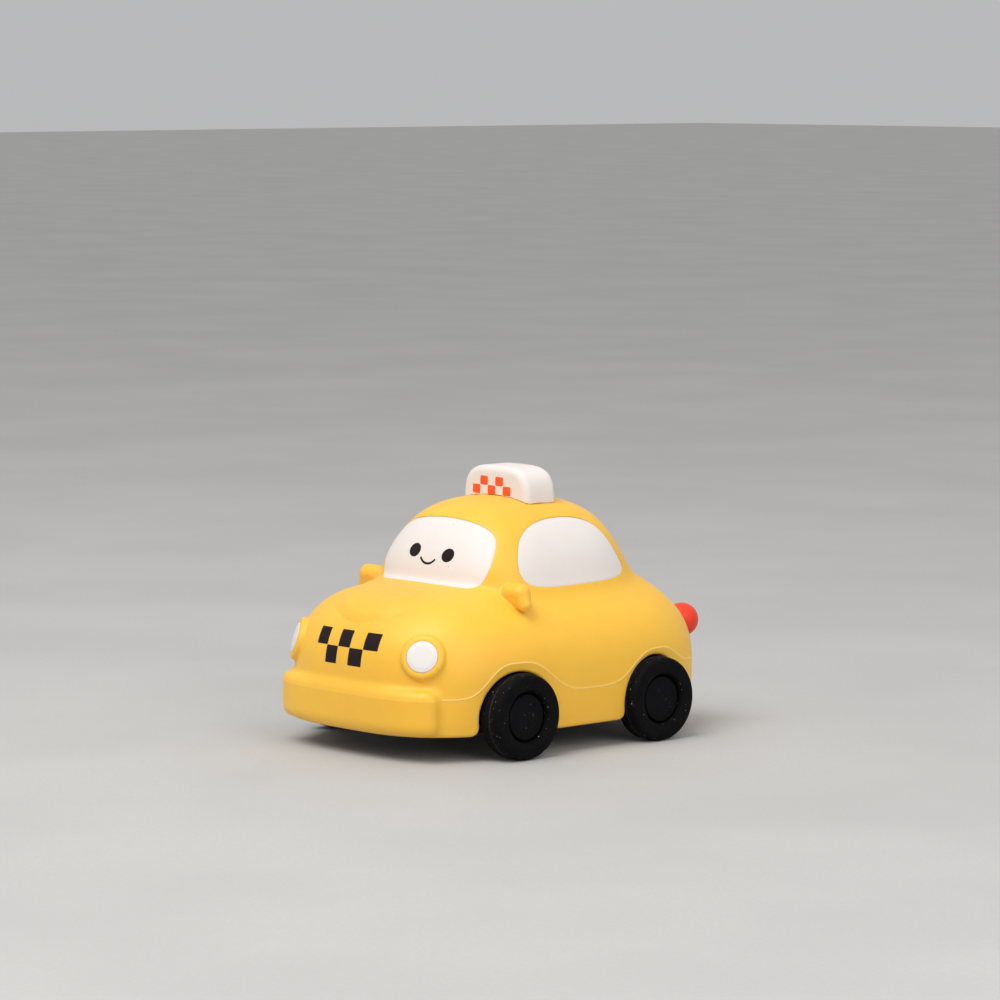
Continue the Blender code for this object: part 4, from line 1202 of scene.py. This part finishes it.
sign_points, sign_quads = net(sign_shape, (-11, -1.2, 42), (11, 9.3, 55), 0.3)
sign_points = settle(sign_shape, relax(settle(sign_shape, sign_points, 3), sign_quads), 4)
sign_mesh = make_mesh("roof_sign_block", sign_points, triangles(sign_points, sign_quads), angle=180)
sign_mesh.set_sharp_from_angle(angle=math.radians(50))
set_normals(sign_mesh, sign_shape, 0.05, 0.85)
piece("roof_sign_block", sign_mesh, white, "body", ["roof_sign"])


band = []
columns, left, right = 5, -6.3, 4.9
for row, (z0, z1) in enumerate(((48.1, 49.9), (49.9, 51.7))):
    for c in range(row % 2, columns, 2):
        x0 = left + (right - left) * c / columns
        x1 = left + (right - left) * (c + 1) / columns
        rings = cell_rings(x0, x1, z0, z1, 10, 0.3)
        band.append(draped(rings, lift=0.07, depth=0.12, shape=sign_shape, start=-sum(SIGN_Y) / 2))
film("printed_sign_checks", band, orange_ink)


# ---------------------------------------------------------------- lamps

for tag, sign in (("left", 1), ("right", -1)):
    flip = np.array([sign, 1, 1])
    lens = soften(
        [(-4.6, 0), (-4.6, 1.3, 0.3), (-0.55, 1.3), (-0.55, HEAD_R, 0.1), (0.72, HEAD_R, 0.22), (0.93, 2.2, 1.0), (1.03, 0)],
        8,
    )
    piece(
        "headlight_lens_" + tag, turned("headlight_lens_" + tag, lens, head_seat * flip, head_facing * flip, 128),
        lamp_white, "body", ["headlight_" + tag],
    )
    bulb = [(-4.8, 0), (-4.8, 1.3), (-1.2, 1.3), (-1.2, TAIL_R)]
    bulb += [
        (0.3 + TAIL_R * math.sin(t), TAIL_R * math.cos(t)) for t in np.linspace(0, math.pi / 2, 40)[:-1]
    ]
    bulb += [(0.3 + TAIL_R, 0)]
    piece(
        "tail_bulb_" + tag, turned("tail_bulb_" + tag, bulb, tail_seat * flip, tail_facing * flip, 128),
        lamp_red, "body", ["tail_light_" + tag],
    )


# ---------------------------------------------------------------- wheels and axles

TYRE = [
    (-0.95, 4.92, 0.1), (-0.2, 5.25, 0.4), (0.0, 6.0, 0.6), (0.0, TYRE_R - 0.09, 1.6),
    (-2.20, TYRE_R - 0.11, 0.06), (-2.38, TYRE_R, 0.05), (-2.56, TYRE_R - 0.11, 0.06), (-5.3, TYRE_R - 0.09, 1.0),
    (-5.3, 6.2, 0.5), (-4.9, 5.3, 0.25), (-4.6, 5.3), (-4.5, 5.6), (-1.75, 5.6), (-1.6, 4.92),
]
HUB = [
    (-0.62, 0), (-0.66, 2.0, 1.0), (-0.80, 4.4, 0.26), (-1.5, 4.56, 0.2), (-2.0, 4.60, 0.15), (-2.0, 4.86, 0.1),
    (-1.85, 4.88), (-1.85, 5.5), (-4.4, 5.5, 0.15), (-4.4, 4.6, 0.15), (-3.2, 4.5, 0.4), (-3.2, 2.3, 0.3),
    (-7.9, 2.2, 0.2), (-7.9, 1.25), (-3.1, 1.25), (-3.1, 0),
]
tyre_profile, hub_profile = soften(TYRE, 6, True), soften(HUB, 6)
for code, y, body in (("f", -HALF_BASE, "front_wheelset"), ("r", HALF_BASE, "rear_wheelset")):
    for side, sign in (("l", 1), ("r", -1)):
        centre, way = (sign * WHEEL_X, y, AXLE_Z), (sign, 0, 0)
        name = f"tyre_ring_{code}{side}"
        ring = turned(name, tyre_profile, centre, way, 144, True, 60)
        where = read(ring)
        mould = np.exp(-(((np.abs(where[:, 0]) - WHEEL_X + 2.38) / 0.12) ** 2))
        mould *= np.hypot(where[:, 1] - y, where[:, 2] - AXLE_Z) > TYRE_R - 0.5
        ring.attributes.new("mould", "FLOAT", "POINT").data.foreach_set("value", mould.astype(np.float32))
        piece(name, ring, tyre_rubber, body, [f"tyre_{code}{side}"])
        name = f"hub_disc_{code}{side}"
        piece(
            name, turned(name, hub_profile, centre, way, 128, False, 60), hub_plastic, body,
            [f"wheel_hub_{code}{side}"],
        )
    axle = {"f": "front_axle", "r": "rear_axle"}[code]
    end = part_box(axle)[1][0] / MM
    rod = soften([(-end, 0), (-end, 1.0, 0.3), (end, 1.0, 0.3), (end, 0)], 6)
    name = axle + "_rod"
    piece(name, turned(name, rod, (0, y, AXLE_Z), (1, 0, 0), 48), axle_steel, body, [axle])


# ---------------------------------------------------------------- CAD nodes that stay

FINISH = {
    "chassis_plate": black_plastic, "body_frame": black_plastic, "front_axle_retainer": black_plastic,
    "motor_case_left": black_plastic, "motor_case_right": black_plastic, "idler_pin": axle_steel,
    "axle_pinion": gear_nylon, "idler_gear": gear_nylon, "spring_gear": gear_nylon, "mainspring": spring_steel,
    "spring_cup": cup_steel,
}
for node, obj in frame["nodes"].items():
    wanted = FINISH.get(node) or (screw_steel if "screw" in node else None)
    if wanted is None:
        continue
    obj.data.materials.clear()
    obj.data.materials.append(wanted)


# ---------------------------------------------------------------- floor, light and camera

floor_mesh = bpy.data.meshes.new("floor")
work = bmesh.new()
bmesh.ops.create_grid(work, x_segments=1, y_segments=1, size=6.0)
work.to_mesh(floor_mesh)
work.free()
floor = bpy.data.objects.new("floor", floor_mesh)
collection.objects.link(floor)
n = Nodes("pale_floor")
tone = n.ramp(n.noise(14, 4.0), 0.3, 0.7)
sand = n.ramp(n.noise(900, 4.0, 0.7), 0.3, 0.7)
n.bump(n.noise(700, 4.0), 0.15, 0.0003)
n.set(Base_Color=n.mix(n.math("MULTIPLY", sand, 0.3), n.mix(tone, (0.52, 0.512, 0.50), (0.48, 0.473, 0.463)), (0.42, 0.412, 0.40)), Roughness=0.75)
floor_mesh.materials.append(n.material)

world = bpy.data.worlds.new("sky")
bpy.context.scene.world = world
world.use_nodes = True
sky = world.node_tree
background = sky.nodes["Background"]
coordinate = sky.nodes.new("ShaderNodeTexCoord")
split = sky.nodes.new("ShaderNodeSeparateXYZ")
shade = sky.nodes.new("ShaderNodeMapRange")
shade.inputs["From Min"].default_value = -0.2
shade.inputs["From Max"].default_value = 0.9
blend = sky.nodes.new("ShaderNodeMix")
blend.data_type = "RGBA"
blend.inputs[6].default_value = (0.66, 0.66, 0.67, 1)
blend.inputs[7].default_value = (0.98, 0.99, 1.0, 1)
sky.links.new(coordinate.outputs["Generated"], split.inputs[0])
sky.links.new(split.outputs[2], shade.inputs["Value"])
sky.links.new(shade.outputs["Result"], blend.inputs[0])
sky.links.new(blend.outputs[2], background.inputs["Color"])
background.inputs["Strength"].default_value = 0.68


def area(name, place, target, size, power, colour=(1, 1, 1)):
    light = bpy.data.lights.new(name, "AREA")
    light.shape = "DISK"
    light.size = size
    light.energy = power
    light.color = colour
    obj = bpy.data.objects.new(name, light)
    collection.objects.link(obj)
    obj.location = place
    obj.rotation_mode = "QUATERNION"
    obj.rotation_quaternion = (Vector(place) - Vector(target)).to_track_quat("Z", "Y")
    return obj


area("key", (0.05, -0.45, 0.75), (0, 0, 0.02), 0.6, 4.9, (1.0, 0.985, 0.965))
area("fill", (0.75, -0.10, 0.42), (0, 0, 0.02), 0.6, 1.85, (0.99, 0.99, 1.0))

AZIMUTH, ELEVATION, DISTANCE, FOCAL = math.radians(48.0), math.radians(7.34), 862.7, 4313.5
toward = Vector((
    math.sin(AZIMUTH) * math.cos(ELEVATION), -math.cos(AZIMUTH) * math.cos(ELEVATION), math.sin(ELEVATION),
))
lens = bpy.data.cameras.new("camera")
lens.sensor_width = 36.0
lens.lens = FOCAL * 36.0 / 1000
lens.clip_start, lens.clip_end = 0.01, 50
camera = bpy.data.objects.new("camera", lens)
collection.objects.link(camera)
camera.location = Vector(to_frame((0, 0, 24.0))) + toward * DISTANCE * MM
camera.rotation_mode = "QUATERNION"
camera.rotation_quaternion = (
    (-toward).to_track_quat("-Z", "Y")
    @ Quaternion((1, 0, 0), math.atan(114.4 / FOCAL))
    @ Quaternion((0, 1, 0), -math.atan(5.6 / FOCAL))
)
bpy.context.scene.camera = camera
bpy.context.scene.view_settings.view_transform = "Standard"
bpy.context.scene.view_settings.look = "None"
